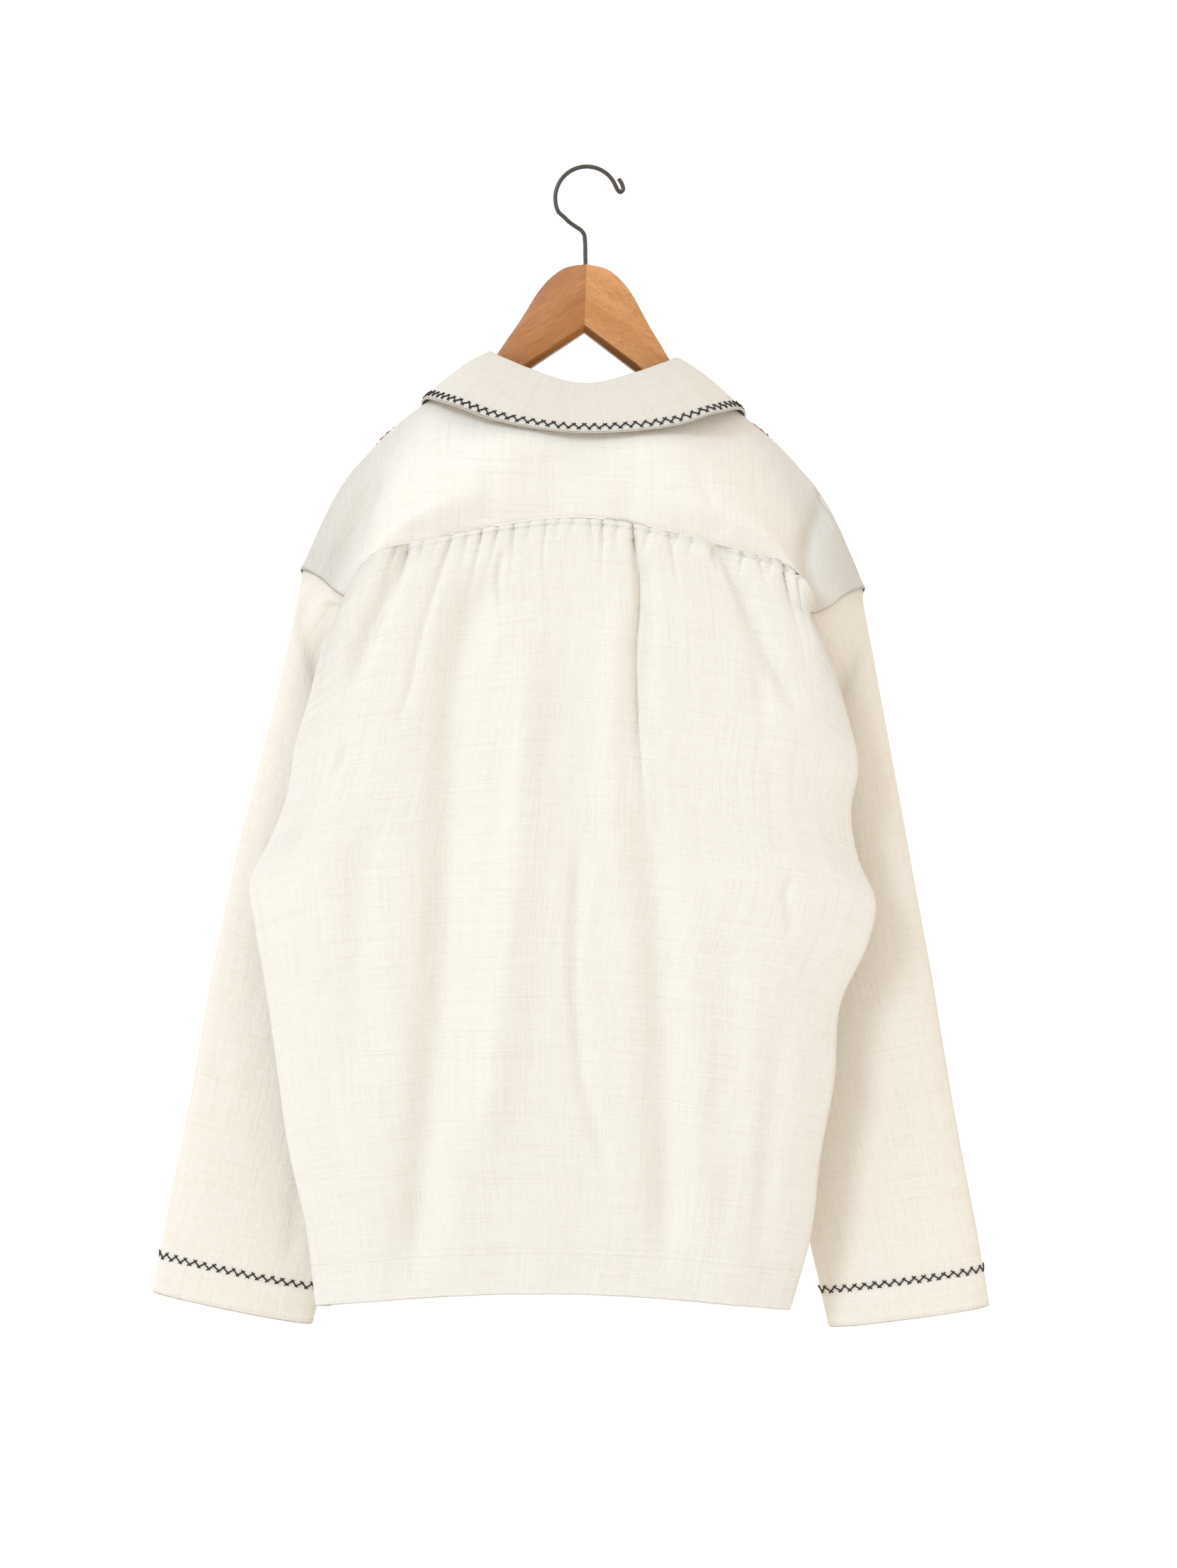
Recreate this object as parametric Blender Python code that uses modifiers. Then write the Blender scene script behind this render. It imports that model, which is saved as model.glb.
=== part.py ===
"""A collared shirt with a gathered back, hung on a wooden hanger, as solid walls at real size.

Metres, +Z up. The origin is the inner top of the hanger's hook, where a rod or a nail carries it.
The back of the shirt faces -Y and its front faces +Y. Tables are in millimetres, before the
lean that the shirt and its hanger have about the hook.
"""

import math

import bmesh
import bpy
import numpy as np
from mathutils import Matrix

MM = 0.001
LEAN = math.radians(1.9)  # the right shoulder hangs a little lower than the left
LEAN_HEIGHT = -100.0  # height of the point that the shirt and the wood lean about
# Sideways drift of the shirt at each height
SWAY = ((-150, 0.0), (-315, 5.2), (-560, -2.5), (-880, 0.5))

# Cloth
CLOTH = 1.2  # thickness of one layer's wall
COLLAR_CLOTH = 1.8  # two layers, turned and pressed
SEAM_GAP = 0.4  # left open between two pieces that are sewn together
SEAM_EASE = 0.003  # how much the yoke is cut shorter, so that it stays clear at its corners
SEAM_TAPER = 0.7  # how far a wall's inner side stops short of a seam, as a share of its thickness
HEM_BAND = 31.0  # depth of the turned-up hem
CUFF_BAND = 30.0  # depth of the turned-up sleeve hem
HEM_EXTRA = 0.6  # what the turned-up layer adds inside

# The body under the yoke, a row for each height. edge is where the back rolls round to the
# side and edge_shift its shift to the right. seam is the back of the armhole and below it the
# side seam. fore is the front of the armhole and below it the same side seam. back_y and front_y
# are the depths at the middle.
BODY_COLUMNS = (
    "height", "edge_x", "edge_shift", "edge_y", "back_y", "seam_x", "seam_y", "fore_x", "fore_y", "front_y"
)
BODY = (
    (-337, 175.0, 0.0, -25, -55, 176, -24, 203, 47, 47),
    (-355, 181.5, -4.0, -29.5, -56, 173.5, -17, 195.5, 46, 44),
    (-375, 192.5, -2.0, -33, -57, 171, -10, 188, 45, 41),
    (-420, 206.0, 2.5, -33, -59, 163, -2, 171, 36, 32),
    (-460, 216.0, 4.0, -31, -60, 158, 4, 160, 23, 23),
    (-489, 215.5, 1.5, -29, -60, 156, 9, 156, 10, 18),
    (-530, 226.0, 0.0, -28, -60, 160, 4, 160, 5, 15),
    (-560, 240.0, 0.5, -27, -59, 167, 0, 167, 1, 13),
    (-590, 236.0, 1.0, -26, -58, 172, -2, 172, -1, 12),
    (-640, 220.5, -4.0, -24, -57, 180, -5, 180, -4, 12),
    (-700, 213.5, -0.5, -22, -55, 184, -8, 184, -7, 13),
    (-760, 203.5, -0.5, -21, -53, 183, -10, 183, -9, 14),
    (-820, 193.0, 4.0, -19, -50, 178, -12, 178, -11, 15),
    (-880, 181.0, 0.5, -17, -47, 170, -14, 170, -13, 16),
)
HEM_MIDDLE = -864  # the hem is a little higher at the middle than at the sides
HEM_SIDE = -880
HEM_TILT = 4.5  # the hem hangs straighter than the shirt leans

# The yoke is a horseshoe round the neck. Each ring runs from the middle of the back, over the
# shoulder blade and the dip in front of the armhole, across the ridge on the hanger's arm, to
# the seam on the front. share is how far along the horseshoe a station lies.
STATIONS = ("middle", "corner", "dip", "ridge", "front")
STATION_SHARE = (0.0, 0.36, 0.46, 0.74, 1.0)
YOKE_RINGS = {
    "neck": ((0, -36, -188), (46, -28, -176), (64, -13, -163), (77, 6, -156.5), (69, 36, -166)),
    "collar": ((0, -50, -214), (80, -42, -213), (105, -16, -199), (118, 16, -180.5), (108, 49, -207)),
    "blade": ((0, -54, -243), (122, -47, -262), (149, -20, -264), (168, 23, -222), (157, 51, -256)),
    "cap": ((0, -55.5, -260), (145, -48, -287), (165, -23, -301), (192.5, 20, -254), (183, 52, -294)),
}
RING_LEVELS = (0.0, 0.3, 0.65, 0.83, 1.0)  # from the neck to the outer edge
# The yoke's outer edge: the gathered seam up to the dip, then the top of the armhole.
EDGE_COLUMNS = ("share", "x", "y", "z")
YOKE_EDGE = (
    (0.00, 0, -55, -275.5),
    (0.18, 78, -54, -286),
    (0.28, 122, -51, -296.5),
    (0.33, 147, -48, -302),
    (0.36, 161, -44, -309),
    (0.46, 176, -24, -337),
    (0.52, 189, -19, -332),
    (0.59, 200.5, -9, -322),
    (0.67, 211, 2, -315),
    (0.74, 218.5, 15, -312),
    (0.87, 215.5, 33, -320),
    (1.00, 203, 47, -337),
)

# The gathers: small tucks at an even spacing under the yoke seam. Some are pulled deeper.
TUCKS = 28
TUCK_PITCH = 11.6
TUCK_WIDTH = 2.4
TUCK_DEPTH = 2.0
TUCK_ROW = 5.0  # a row of points close under the seam
CORNER_COLUMN = 0.965  # a column of points between the last tuck and the end of the seam
WING_INSET = 0.012  # the wings start on this share of the yoke seam's ends
WINGS = (0.3, 0.6, 0.86, 1.0)  # columns on the part that turns away behind the side
TUCK_FADE = 26.0  # how fast a tuck opens out below the seam
DEEP_TUCKS = {1: 1.5, 6: 1.4, 7: 1.5, 8: 1.3, 14: 1.3, 15: 1.5, 17: 1.6, 26: 1.5}
# The long soft folds that the gathers let down, a row for each. from_share and to_share are
# places across the visible back at the seam and at the hem.
FOLD_COLUMNS = ("from_share", "to_share", "depth", "width", "start", "end")
FOLDS = (
    (-0.86, -0.93, 4.5, 15, 20, 330),
    (-0.62, -0.70, 3.0, 18, 60, 520),
    (-0.40, -0.44, 4.5, 16, 15, 420),
    (-0.27, -0.24, 4.0, 13, 15, 300),
    (-0.08, -0.10, 2.5, 22, 90, 610),
    (0.15, 0.13, 3.5, 20, 60, 610),
    (0.28, 0.33, 5.5, 12, 10, 330),
    (0.52, 0.60, 3.5, 18, 90, 610),
    (0.83, 0.90, 5.0, 14, 10, 260),
)

# The sleeve below the armhole, a row for each ring: the outer and inner points of the ring as
# the back view shows them, then the depth of its middle and half its thickness.
SLEEVE_COLUMNS = ("outer_x", "outer_z", "inner_x", "inner_z", "middle_y", "half_depth")
SLEEVE = (
    (220.0, -337, 163, -494, 26, 22),
    (226.6, -370, 154, -506, 28, 23),
    (236.8, -419, 141, -521, 31, 22.5),
    (251.4, -485, 130, -548, 34, 21),
    (265.0, -551, 131, -592, 37, 20),
    (277.5, -617, 140, -652, 38, 19),
    (289.0, -683, 154, -714, 38, 18),
    (300.4, -749, 168, -776, 37, 17),
    (313.8, -815, 184, -838, 36, 16),
    (324.5, -876, 199, -897, 35, 15),
)
SLEEVE_LENGTH = 560.0
# How much further out and further down each sleeve hangs, at five even heights
SLEEVE_OUT = {"left": (3.0, -2.8, -5.0, -7.0, -9.0), "right": (3.0, 10.0, 16.0, 18.5, 19.5)}
SLEEVE_DOWN = {"left": (0.0, 2.0, 5.0, 8.5, 12.0), "right": (0.0, 0.0, 0.0, 0.5, 1.0)}
ARMHOLE_HEIGHTS = (-337, -350, -367, -390, -414, -440, -464, -489)
# The armhole in turns: the shoulder point, the dip at the back, the underarm, the front, the
# shoulder point again.
ARMHOLE_TURNS = (0.0, 0.16, 0.5, 0.87, 1.0)

# The collar, from the middle of the back to the front end: its seam, its roll and its edge.
COLLAR_SEAM = (
    (0, -36, -188), (46, -28, -176), (64, -13, -163), (77, 6, -156.5),
    (69, 36, -166), (57, 48, -188), (38, 57, -216), (10, 61.2, -239),
)
COLLAR_ROLL = (
    (0, -30, -172.5), (41, -22, -160.5), (60, -8, -150.5), (70.5, 7, -145.5),
    (66, 36, -157), (53, 50, -179), (35, 60, -206), (10, 65, -230),
)
COLLAR_EDGE = (
    (0, -60, -212), (71, -52, -203), (103, -34, -190), (127, 14, -183),
    (121, 57, -205), (105, 67, -232), (82, 71, -264), (52, 72, -296),
)
COLLAR_SHARES = (0.0, 0.22, 0.35, 0.50, 0.62, 0.76, 0.88, 1.0)
ROLL_RADIUS = 2.6
ROLL_TURN = math.radians(144)
COLLAR_BULGE = 8.0  # how far a fall 70 mm wide arches over the shoulder

# The front opening and its buttons
LAP = 14.0  # how far each front runs past the middle
UNDERLAP = 4.2  # how far the lower layer lies inside the upper one
FRONT_NECK = (
    (69, 36, -166), (57, 48, -188), (38, 57, -216), (16, 61, -238), (0, 61.5, -240), (-LAP, 61.5, -240)
)
BUTTONS = 6
BUTTON_RADIUS = 6.5
BUTTON_THICK = 2.4
BUTTON_LIFT = 0.8
BUTTON_TOP = -262
BUTTON_PITCH = 98

# The hanger
WOOD_THICK = 13.0
WOOD_ROUND = 1.4
ARM_SWEEP = math.radians(8)  # each arm leads forwards from the mitre
ARM_TOP = (
    (0, -75), (17, -78.5), (29.5, -88), (38, -99), (45, -111), (52, -122.5), (60, -134.5), (68, -147),
    (78, -164), (98, -181), (125, -202), (150, -221), (161, -230),
)
ARM_TIP = ((167, -238), (167, -245), (161, -249))
ARM_UNDER = ((126, -227), (84, -191), (42, -156), (0, -127))
MITRE_GAP = 0.3
WIRE = 1.65  # radius of the hook's wire
HOOK_ARC = 24.4  # radius of the hook at the middle of the wire
HOOK_ARC_X = 1.1
HOOK_STEM_X = 0.2
# The wire's line from the stem up into the hook, and its end folded back on itself
HOOK_BEND = ((0, -66), (-0.3, -55.6), (-1.0, -51), (-2.8, -48.3), (-7.4, -45), (-12.1, -41.7), (-16.3, -37.7))
HOOK_END = ((25.4, -16.9), (27.3, -18.2), (29.2, -16.5), (28.7, -12.6), (26.0, -7.9))
HOOK_STEM_DEPTH = 22.0  # how deep the stem stands in the wood
HOOK_FIT = 0.3

COLOURS = {
    "cloth": (0.88, 0.84, 0.75, 0.85, 0.0),
    "collar_cloth": (0.88, 0.84, 0.75, 0.85, 0.0),
    "button": (0.80, 0.74, 0.62, 0.35, 0.0),
    "wood": (0.56, 0.29, 0.13, 0.5, 0.0),
    "wire": (0.03, 0.028, 0.026, 0.35, 0.8),
}


def column(table, columns, name):
    """One named column of a table."""
    return np.array([row[columns.index(name)] for row in table], float)


def through(knots, values, at):
    """A smooth curve through values at knots, read at the places at. Values may be points."""
    knots, values, at = np.asarray(knots, float), np.asarray(values, float), np.asarray(at, float)
    flat = values.reshape(len(knots), -1)
    step = np.diff(knots)[:, None]
    slope = np.diff(flat, axis=0) / step
    middle = (slope[:-1] * step[1:] + slope[1:] * step[:-1]) / (step[1:] + step[:-1])
    tangent = np.vstack([slope[:1], middle, slope[-1:]])
    i = np.clip(np.searchsorted(knots, at, side="right") - 1, 0, len(knots) - 2)
    h = step[i]
    u = ((at - knots[i])[:, None]) / h
    found = (
        (2 * u**3 - 3 * u**2 + 1) * flat[i]
        + (u**3 - 2 * u**2 + u) * h * tangent[i]
        + (3 * u**2 - 2 * u**3) * flat[i + 1]
        + (u**3 - u**2) * h * tangent[i + 1]
    )
    return found.reshape(at.shape + values.shape[1:])


def chord_lengths(points):
    """Distance along a line of points, from its first point."""
    return np.concatenate([[0.0], np.cumsum(np.linalg.norm(np.diff(points, axis=0), axis=1))])


def unit(vectors):
    return vectors / np.linalg.norm(vectors, axis=-1, keepdims=True)


def eased(x):
    """0 below 0, 1 above 1 and a smooth step between."""
    x = np.clip(x, 0.0, 1.0)
    return x * x * (3 - 2 * x)


def mirrored(points):
    """The same points on the other side of the middle plane."""
    return np.asarray(points, float) * (-1, 1, 1)


def both_sides(points):
    """A line from the left end, through the middle of the back, to the right end."""
    half = np.asarray(points, float)
    return np.vstack([mirrored(half[:0:-1]), half])


def both_shares(shares):
    """Shares from -1 to 1, from those of the right half."""
    half = np.asarray(shares, float)
    return np.concatenate([-half[:0:-1], half])


def share_of(station):
    return STATION_SHARE[STATIONS.index(station)]


def normals(grid, closed=False):
    """Unit normals of a grid of points, across its rows and columns."""
    along = np.gradient(grid, axis=0)
    if closed:
        wrapped = np.concatenate([grid[:, -1:], grid, grid[:, :1]], axis=1)
        across = np.gradient(wrapped, axis=1)[:, 1:-1]
    else:
        across = np.gradient(grid, axis=1)
    found = np.cross(along, across)
    return found / np.linalg.norm(found, axis=2, keepdims=True)


BORDERS = {
    "top": (np.s_[0], np.s_[1]),
    "bottom": (np.s_[-1], np.s_[-2]),
    "left": (np.s_[:, 0], np.s_[:, 1]),
    "right": (np.s_[:, -1], np.s_[:, -2]),
}


def drawn_in(grid, gap, seams):
    """The grid with the named borders moved inwards by a gap, to leave a seam open."""
    moved = grid.copy()
    for name in seams:
        border, inner = BORDERS[name]
        way = grid[inner] - grid[border]
        moved[border] += gap * way / np.linalg.norm(way, axis=-1, keepdims=True)
    return moved


def swayed(grid):
    """The grid moved sideways by the shirt's drift at each height."""
    heights, drift = np.array(SWAY, float).T
    moved = grid.copy()
    down = np.clip(-grid[..., 2].ravel(), -heights[0], -heights[-1])
    moved[..., 0] += through(-heights, drift, down).reshape(grid.shape[:-1])
    return moved


def make_material(name):
    red, green, blue, roughness, metallic = COLOURS[name]
    material = bpy.data.materials.get(name) or bpy.data.materials.new(name)
    material.use_nodes = True
    shader = material.node_tree.nodes["Principled BSDF"]
    shader.inputs["Base Color"].default_value = (red, green, blue, 1)
    shader.inputs["Roughness"].default_value = roughness
    shader.inputs["Metallic"].default_value = metallic
    return material


def add_object(name, mesh, material, parent, collection):
    obj = bpy.data.objects.new(name, mesh)
    mesh.materials.clear()
    mesh.materials.append(make_material(material))
    obj.parent = parent
    collection.objects.link(obj)
    return obj


def signed_volume(points, faces):
    """Volume inside the faces, negative where they point inwards."""
    corners = [(f[0], f[i], f[i + 1]) for f in faces for i in range(1, len(f) - 1)]
    a, b, c = (points[[t[i] for t in corners]] for i in range(3))
    return float(np.einsum("ij,ij->i", a, np.cross(b, c)).sum() / 6)


def cloth_wall(name, grid, thickness, outward, seams, material, parent, collection, closed=False):
    """A closed wall of cloth from the grid of its outer side, thickened inwards.

    outward is +1 or -1: which way the grid's normals point. thickness may be one number or
    one for each row. seams names the borders that are sewn to another piece.
    """
    grid = swayed(grid)
    rows, columns = grid.shape[:2]
    depth = np.broadcast_to(np.reshape(thickness, (-1, 1, 1)), (rows, 1, 1))
    outer = drawn_in(grid, SEAM_GAP / 2, seams)
    inner = grid - normals(grid, closed) * outward * depth
    inner = drawn_in(inner, SEAM_GAP / 2 + SEAM_TAPER * float(np.max(thickness)), seams)
    points = np.concatenate([outer.reshape(-1, 3), inner.reshape(-1, 3)]) * MM
    half = rows * columns

    def at(i, j, layer):
        return layer * half + i * columns + j % columns

    faces = []
    for i in range(rows - 1):
        for j in range(columns if closed else columns - 1):
            faces.append((at(i, j, 0), at(i, j + 1, 0), at(i + 1, j + 1, 0), at(i + 1, j, 0)))
            faces.append((at(i, j, 1), at(i + 1, j, 1), at(i + 1, j + 1, 1), at(i, j + 1, 1)))
    for j in range(columns if closed else columns - 1):
        faces.append((at(0, j, 0), at(0, j, 1), at(0, j + 1, 1), at(0, j + 1, 0)))
        faces.append(tuple(at(rows - 1, *end) for end in ((j, 0), (j + 1, 0), (j + 1, 1), (j, 1))))
    if not closed:
        for i in range(rows - 1):
            faces.append((at(i, 0, 0), at(i + 1, 0, 0), at(i + 1, 0, 1), at(i, 0, 1)))
            faces.append((at(i, -1, 0), at(i, -1, 1), at(i + 1, -1, 1), at(i + 1, -1, 0)))
    if signed_volume(points, faces) < 0:
        faces = [face[::-1] for face in faces]
    mesh = bpy.data.meshes.new(name)
    mesh.from_pydata(points.tolist(), [], faces)
    mesh.validate()
    mesh.shade_smooth()
    return add_object(name, mesh, material, parent, collection)


def yoke_edge(share):
    """Points of the yoke's outer edge. share is 0 at the middle of the back and 1 at the front."""
    knots = both_shares(column(YOKE_EDGE, EDGE_COLUMNS, "share"))
    points = both_sides([row[1:] for row in YOKE_EDGE])
    return through(knots, points, share)


def yoke_surface(shares, levels):
    """A grid on the yoke: levels run from 0 at the neck to 1 at its outer edge."""
    knots = both_shares(STATION_SHARE)
    rings = [through(knots, both_sides(ring), shares) for ring in YOKE_RINGS.values()]
    rings.append(yoke_edge(shares))
    return through(RING_LEVELS, np.array(rings), levels)


def body_at(heights, name):
    """One column of the body's table, read at the given heights."""
    down = -column(BODY, BODY_COLUMNS, "height")
    return through(down, column(BODY, BODY_COLUMNS, name), -np.asarray(heights, float))


def hem_offset(across, drop):
    """How far the cloth hangs below its level section. across is -1 at the left side and 1 at
    the right, and drop is 0 at the yoke and 1 at the hem."""
    across = np.asarray(across)
    curve = (HEM_MIDDLE - HEM_SIDE) * (1 - across**2) + HEM_TILT * across
    return curve * eased((drop - 0.3) / 0.7)


def back_section(height, share, wing):
    """One level section of the back, with every point at the side's height.

    share holds places across the visible back, -1 to 1, and wing holds places on the part
    that turns away behind the side, 0 at the roll and 1 at the seam.
    """
    names = ("edge_x", "edge_shift", "edge_y", "back_y", "seam_x", "seam_y")
    edge_x, shift, edge_y, back_y, seam_x, seam_y = (float(body_at([height], name)[0]) for name in names)
    deep = back_y - edge_y

    def half(side):
        edge = edge_x + side * shift
        return np.array([
            (0, back_y, height),
            (0.42 * edge, edge_y + 0.96 * deep, height),
            (0.80 * edge, edge_y + 0.70 * deep, height),
            (edge, edge_y, height),
            (0.18 * edge + 0.82 * seam_x, 0.60 * edge_y + 0.40 * seam_y, height),
            (seam_x, seam_y, height),
        ])

    control = np.vstack([mirrored(half(-1)[:0:-1]), half(1)])
    dense = through(chord_lengths(control), control, np.linspace(0, chord_lengths(control)[-1], 241))
    length = chord_lengths(dense)
    first = int(np.argmin(dense[:, 0]))
    last = int(np.argmax(dense[:, 0]))
    visible = 0.5 * (length[first] + length[last]) + 0.5 * share * (length[last] - length[first])
    left = length[first] * (1 - wing[::-1])
    right = length[last] + (length[-1] - length[last]) * wing
    places = np.concatenate([left, visible, right])
    return np.stack([np.interp(places, length, dense[:, k]) for k in range(3)], axis=1)


def back_surface(share, wing, drops):
    """The back below the yoke, as a grid. drops run from 0 at the yoke seam to 1 at the hem."""
    right_end = 1 - WING_INSET * (1 - wing)
    seam_places = np.concatenate([-right_end[::-1], share * (1 - WING_INSET), right_end])
    seam_line = yoke_edge(seam_shares(seam_places))
    top = float(BODY[0][0])
    grid = []
    for drop in drops:
        grid.append(back_section(top + drop * (HEM_SIDE - top), share, wing))
    grid = np.array(grid)
    start = back_section(top, share, wing)
    off_seam = seam_line - start
    across = np.concatenate([-np.ones(len(wing)), share, np.ones(len(wing))])
    # The level sections slide onto the curved seam above and the curved hem below.
    for i, drop in enumerate(drops):
        grid[i, :, 2] += (1 - drop) * off_seam[:, 2] + hem_offset(across, drop)
        grid[i, :, :2] += (1 - eased(drop / 0.22)) * off_seam[:, :2]
    return grid, across


def seam_shares(places):
    """Shares of the yoke's edge for places along its gathered seam, -1 to 1."""
    dense = np.linspace(-share_of("dip"), share_of("dip"), 401)
    length = chord_lengths(yoke_edge(dense))
    return np.interp((np.asarray(places) + 1) / 2 * length[-1], length, dense)


def tuck_places():
    """Where the tucks lie across the gathered seam, -1 to 1."""
    dense = np.linspace(-1, 1, 801)
    line = yoke_edge(seam_shares(dense))
    x = (np.arange(TUCKS) - (TUCKS - 1) / 2) * TUCK_PITCH
    return np.interp(x, line[:, 0], dense)


def tuck_pull(across, below, width):
    """How far the tucks draw the cloth in, in millimetres."""
    pull = np.zeros_like(across)
    for i, place in enumerate(tuck_places()):
        depth = TUCK_DEPTH * DEEP_TUCKS.get(i, 1.0)
        away = (across - place) * width / (TUCK_WIDTH * (1 + below / 60))
        pull += depth * np.exp(-(away**2)) * np.exp(-below / TUCK_FADE)
    return pull


def fold_pull(across, below, drop, width):
    """How far the long folds draw the cloth in, in millimetres."""
    pull = np.zeros_like(across)
    for row in FOLDS:
        fold = dict(zip(FOLD_COLUMNS, row))
        middle = fold["from_share"] + (fold["to_share"] - fold["from_share"]) * drop
        away = (across - middle) * width / (fold["width"] * (1 + below / 400))
        half_end = fold["end"] / 2
        fade = eased(below / (fold["start"] + 40)) * (1 - 0.8 * eased((below - half_end) / half_end))
        pull += fold["depth"] * np.exp(-(away**2)) * fade
    return pull


def folded_back(share, wing, drops):
    """The back with its tucks and folds worked into it."""
    grid, across = back_surface(share, wing, drops)
    below = grid[:1, :, 2] - grid[:, :, 2]
    width = np.abs(grid[:, -1 - len(wing), 0] - grid[:, len(wing), 0])[:, None] / 2
    wide_across = np.broadcast_to(across, below.shape)
    drop = np.broadcast_to(np.reshape(drops, (-1, 1)), below.shape)
    pull = tuck_pull(wide_across, below, width) + fold_pull(wide_across, below, drop, width)
    pull *= 1 - eased((np.abs(wide_across) - 0.93) / 0.07)
    way = normals(grid)
    way *= np.sign(way[:, way.shape[1] // 2, 1])[:, None, None]
    return grid + way * pull[:, :, None]


def tuck_columns():
    """Columns across the back: three for each tuck, so that each is a sharp valley."""
    reach = 1.5 * TUCK_WIDTH / yoke_edge([share_of("dip")])[0, 0]
    places = [place + side * reach for place in tuck_places() for side in (-1, 0, 1)]
    return np.array([-1.0, -CORNER_COLUMN, *places, CORNER_COLUMN, 1.0])


def hem_thickness(rows_above_hem, band, cloth=CLOTH):
    """Wall thickness of each row: the turned-up band is thicker."""
    return np.where(np.asarray(rows_above_hem) <= band, cloth + HEM_EXTRA, cloth)


def build_back(parent, collection):
    wing = np.array(WINGS)
    length = BODY[0][0] - HEM_SIDE
    armhole = BODY[0][0] - np.array(ARMHOLE_HEIGHTS)
    below = np.sort([TUCK_ROW, *armhole, 200, 262, 330, 400, 460, length - HEM_BAND, length])
    drops = below / length
    grid = folded_back(tuck_columns(), wing, drops)
    thickness = hem_thickness(length - below, HEM_BAND)
    sign = outward_sign(grid, (0, -1, 0))
    cloth_wall("back_panel", grid, thickness, sign, ("top", "left", "right"), "cloth", parent, collection)


def outward_sign(grid, way, closed=False):
    """+1 where the grid's normal at its middle points the given way, else -1."""
    found = normals(grid, closed)
    middle = found[found.shape[0] // 2, found.shape[1] // 2]
    return 1.0 if float(np.dot(middle, way)) > 0 else -1.0


def build_yoke(parent, collection):
    columns = tuck_columns()
    seam = seam_shares([*columns[:5], *tuck_places()[1:-1], *columns[-5:]])
    side = np.linspace(share_of("dip"), 1.0, 11)[1:]
    shares = np.concatenate([-side[::-1], seam, side])
    grid = yoke_surface(shares, np.linspace(0, 1 - SEAM_EASE, 9))
    sign = outward_sign(grid, (0, -1, 0))
    cloth_wall("yoke", grid, CLOTH, sign, tuple(BORDERS), "cloth", parent, collection)


def armhole_ring():
    """Points of the right armhole and their turns. It runs from the shoulder point, down the
    back, under the arm, up the front and back to the shoulder."""
    ridge, dip = share_of("ridge"), share_of("dip")
    heights = np.array(ARMHOLE_HEIGHTS, float)
    down = np.stack([body_at(heights, "seam_x"), body_at(heights, "seam_y"), heights], axis=1)
    up = np.stack([body_at(heights, "fore_x"), body_at(heights, "fore_y"), heights], axis=1)[::-1]
    parts = (
        yoke_edge(np.linspace(ridge, dip, 6)),
        down,
        up,
        yoke_edge(np.linspace(1, ridge, 6)),
    )
    points, turns = [], []
    for part, first, last in zip(parts, ARMHOLE_TURNS, ARMHOLE_TURNS[1:]):
        length = chord_lengths(part)
        points.append(part[:-1])
        turns.append(first + (last - first) * length[:-1] / length[-1])
    return np.concatenate(points), np.concatenate(turns)


def sleeve_surface(side, places):
    """A sleeve as rings of points. places run from 0 at the armhole to 1 at the cuff."""
    armhole, turns = armhole_ring()
    angle = 2 * math.pi * turns
    rings = [armhole]
    heights = column(SLEEVE, SLEEVE_COLUMNS, "outer_z")
    ways = np.linspace(heights[0], heights[-1], len(SLEEVE_OUT[side]))
    for row in SLEEVE:
        cut = dict(zip(SLEEVE_COLUMNS, row))
        out, down = (np.interp(-cut["outer_z"], -ways, table[side]) for table in (SLEEVE_OUT, SLEEVE_DOWN))
        outer = np.array([cut["outer_x"] + out, cut["middle_y"], cut["outer_z"] - down])
        inner = np.array([cut["inner_x"] + out, cut["middle_y"], cut["inner_z"] - down])
        middle, reach = (outer + inner) / 2, (outer - inner) / 2
        along = np.sign(np.cos(angle)) * np.abs(np.cos(angle)) ** 0.9
        depth = np.sign(np.sin(angle)) * np.abs(np.sin(angle)) ** 0.8 * cut["half_depth"]
        ring = middle + along[:, None] * reach
        ring[:, 1] -= depth
        rings.append(ring)
    rings = np.array(rings)
    spine = chord_lengths(rings.mean(axis=1))
    grid = through(spine / spine[-1], rings, places)
    return grid if side == "right" else mirrored(grid)


def build_sleeve(side, parent, collection):
    band = 1 - CUFF_BAND / SLEEVE_LENGTH
    upper = [0, 0.025, 0.06, 0.105, 0.16, 0.225]
    places = np.concatenate([upper, np.linspace(0.3, band - 0.002, 8), [band, 1.0]])
    grid = sleeve_surface(side, places)
    thickness = hem_thickness((1 - places) * SLEEVE_LENGTH, CUFF_BAND)
    quarter = grid.shape[1] // 4
    sign = 1.0 if normals(grid, True)[len(upper), quarter, 1] < 0 else -1.0
    cloth_wall(f"sleeve_{side}", grid, thickness, sign, ("top",), "cloth", parent, collection, closed=True)


def front_edge():
    """The top of the right front, from the armhole along the yoke and round the neck."""
    yoke_front = yoke_surface(np.array([1.0]), np.linspace(1, 0, 9))[:, 0]
    neck = np.array(FRONT_NECK[1:], float)
    return np.vstack([yoke_front, neck])


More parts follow.
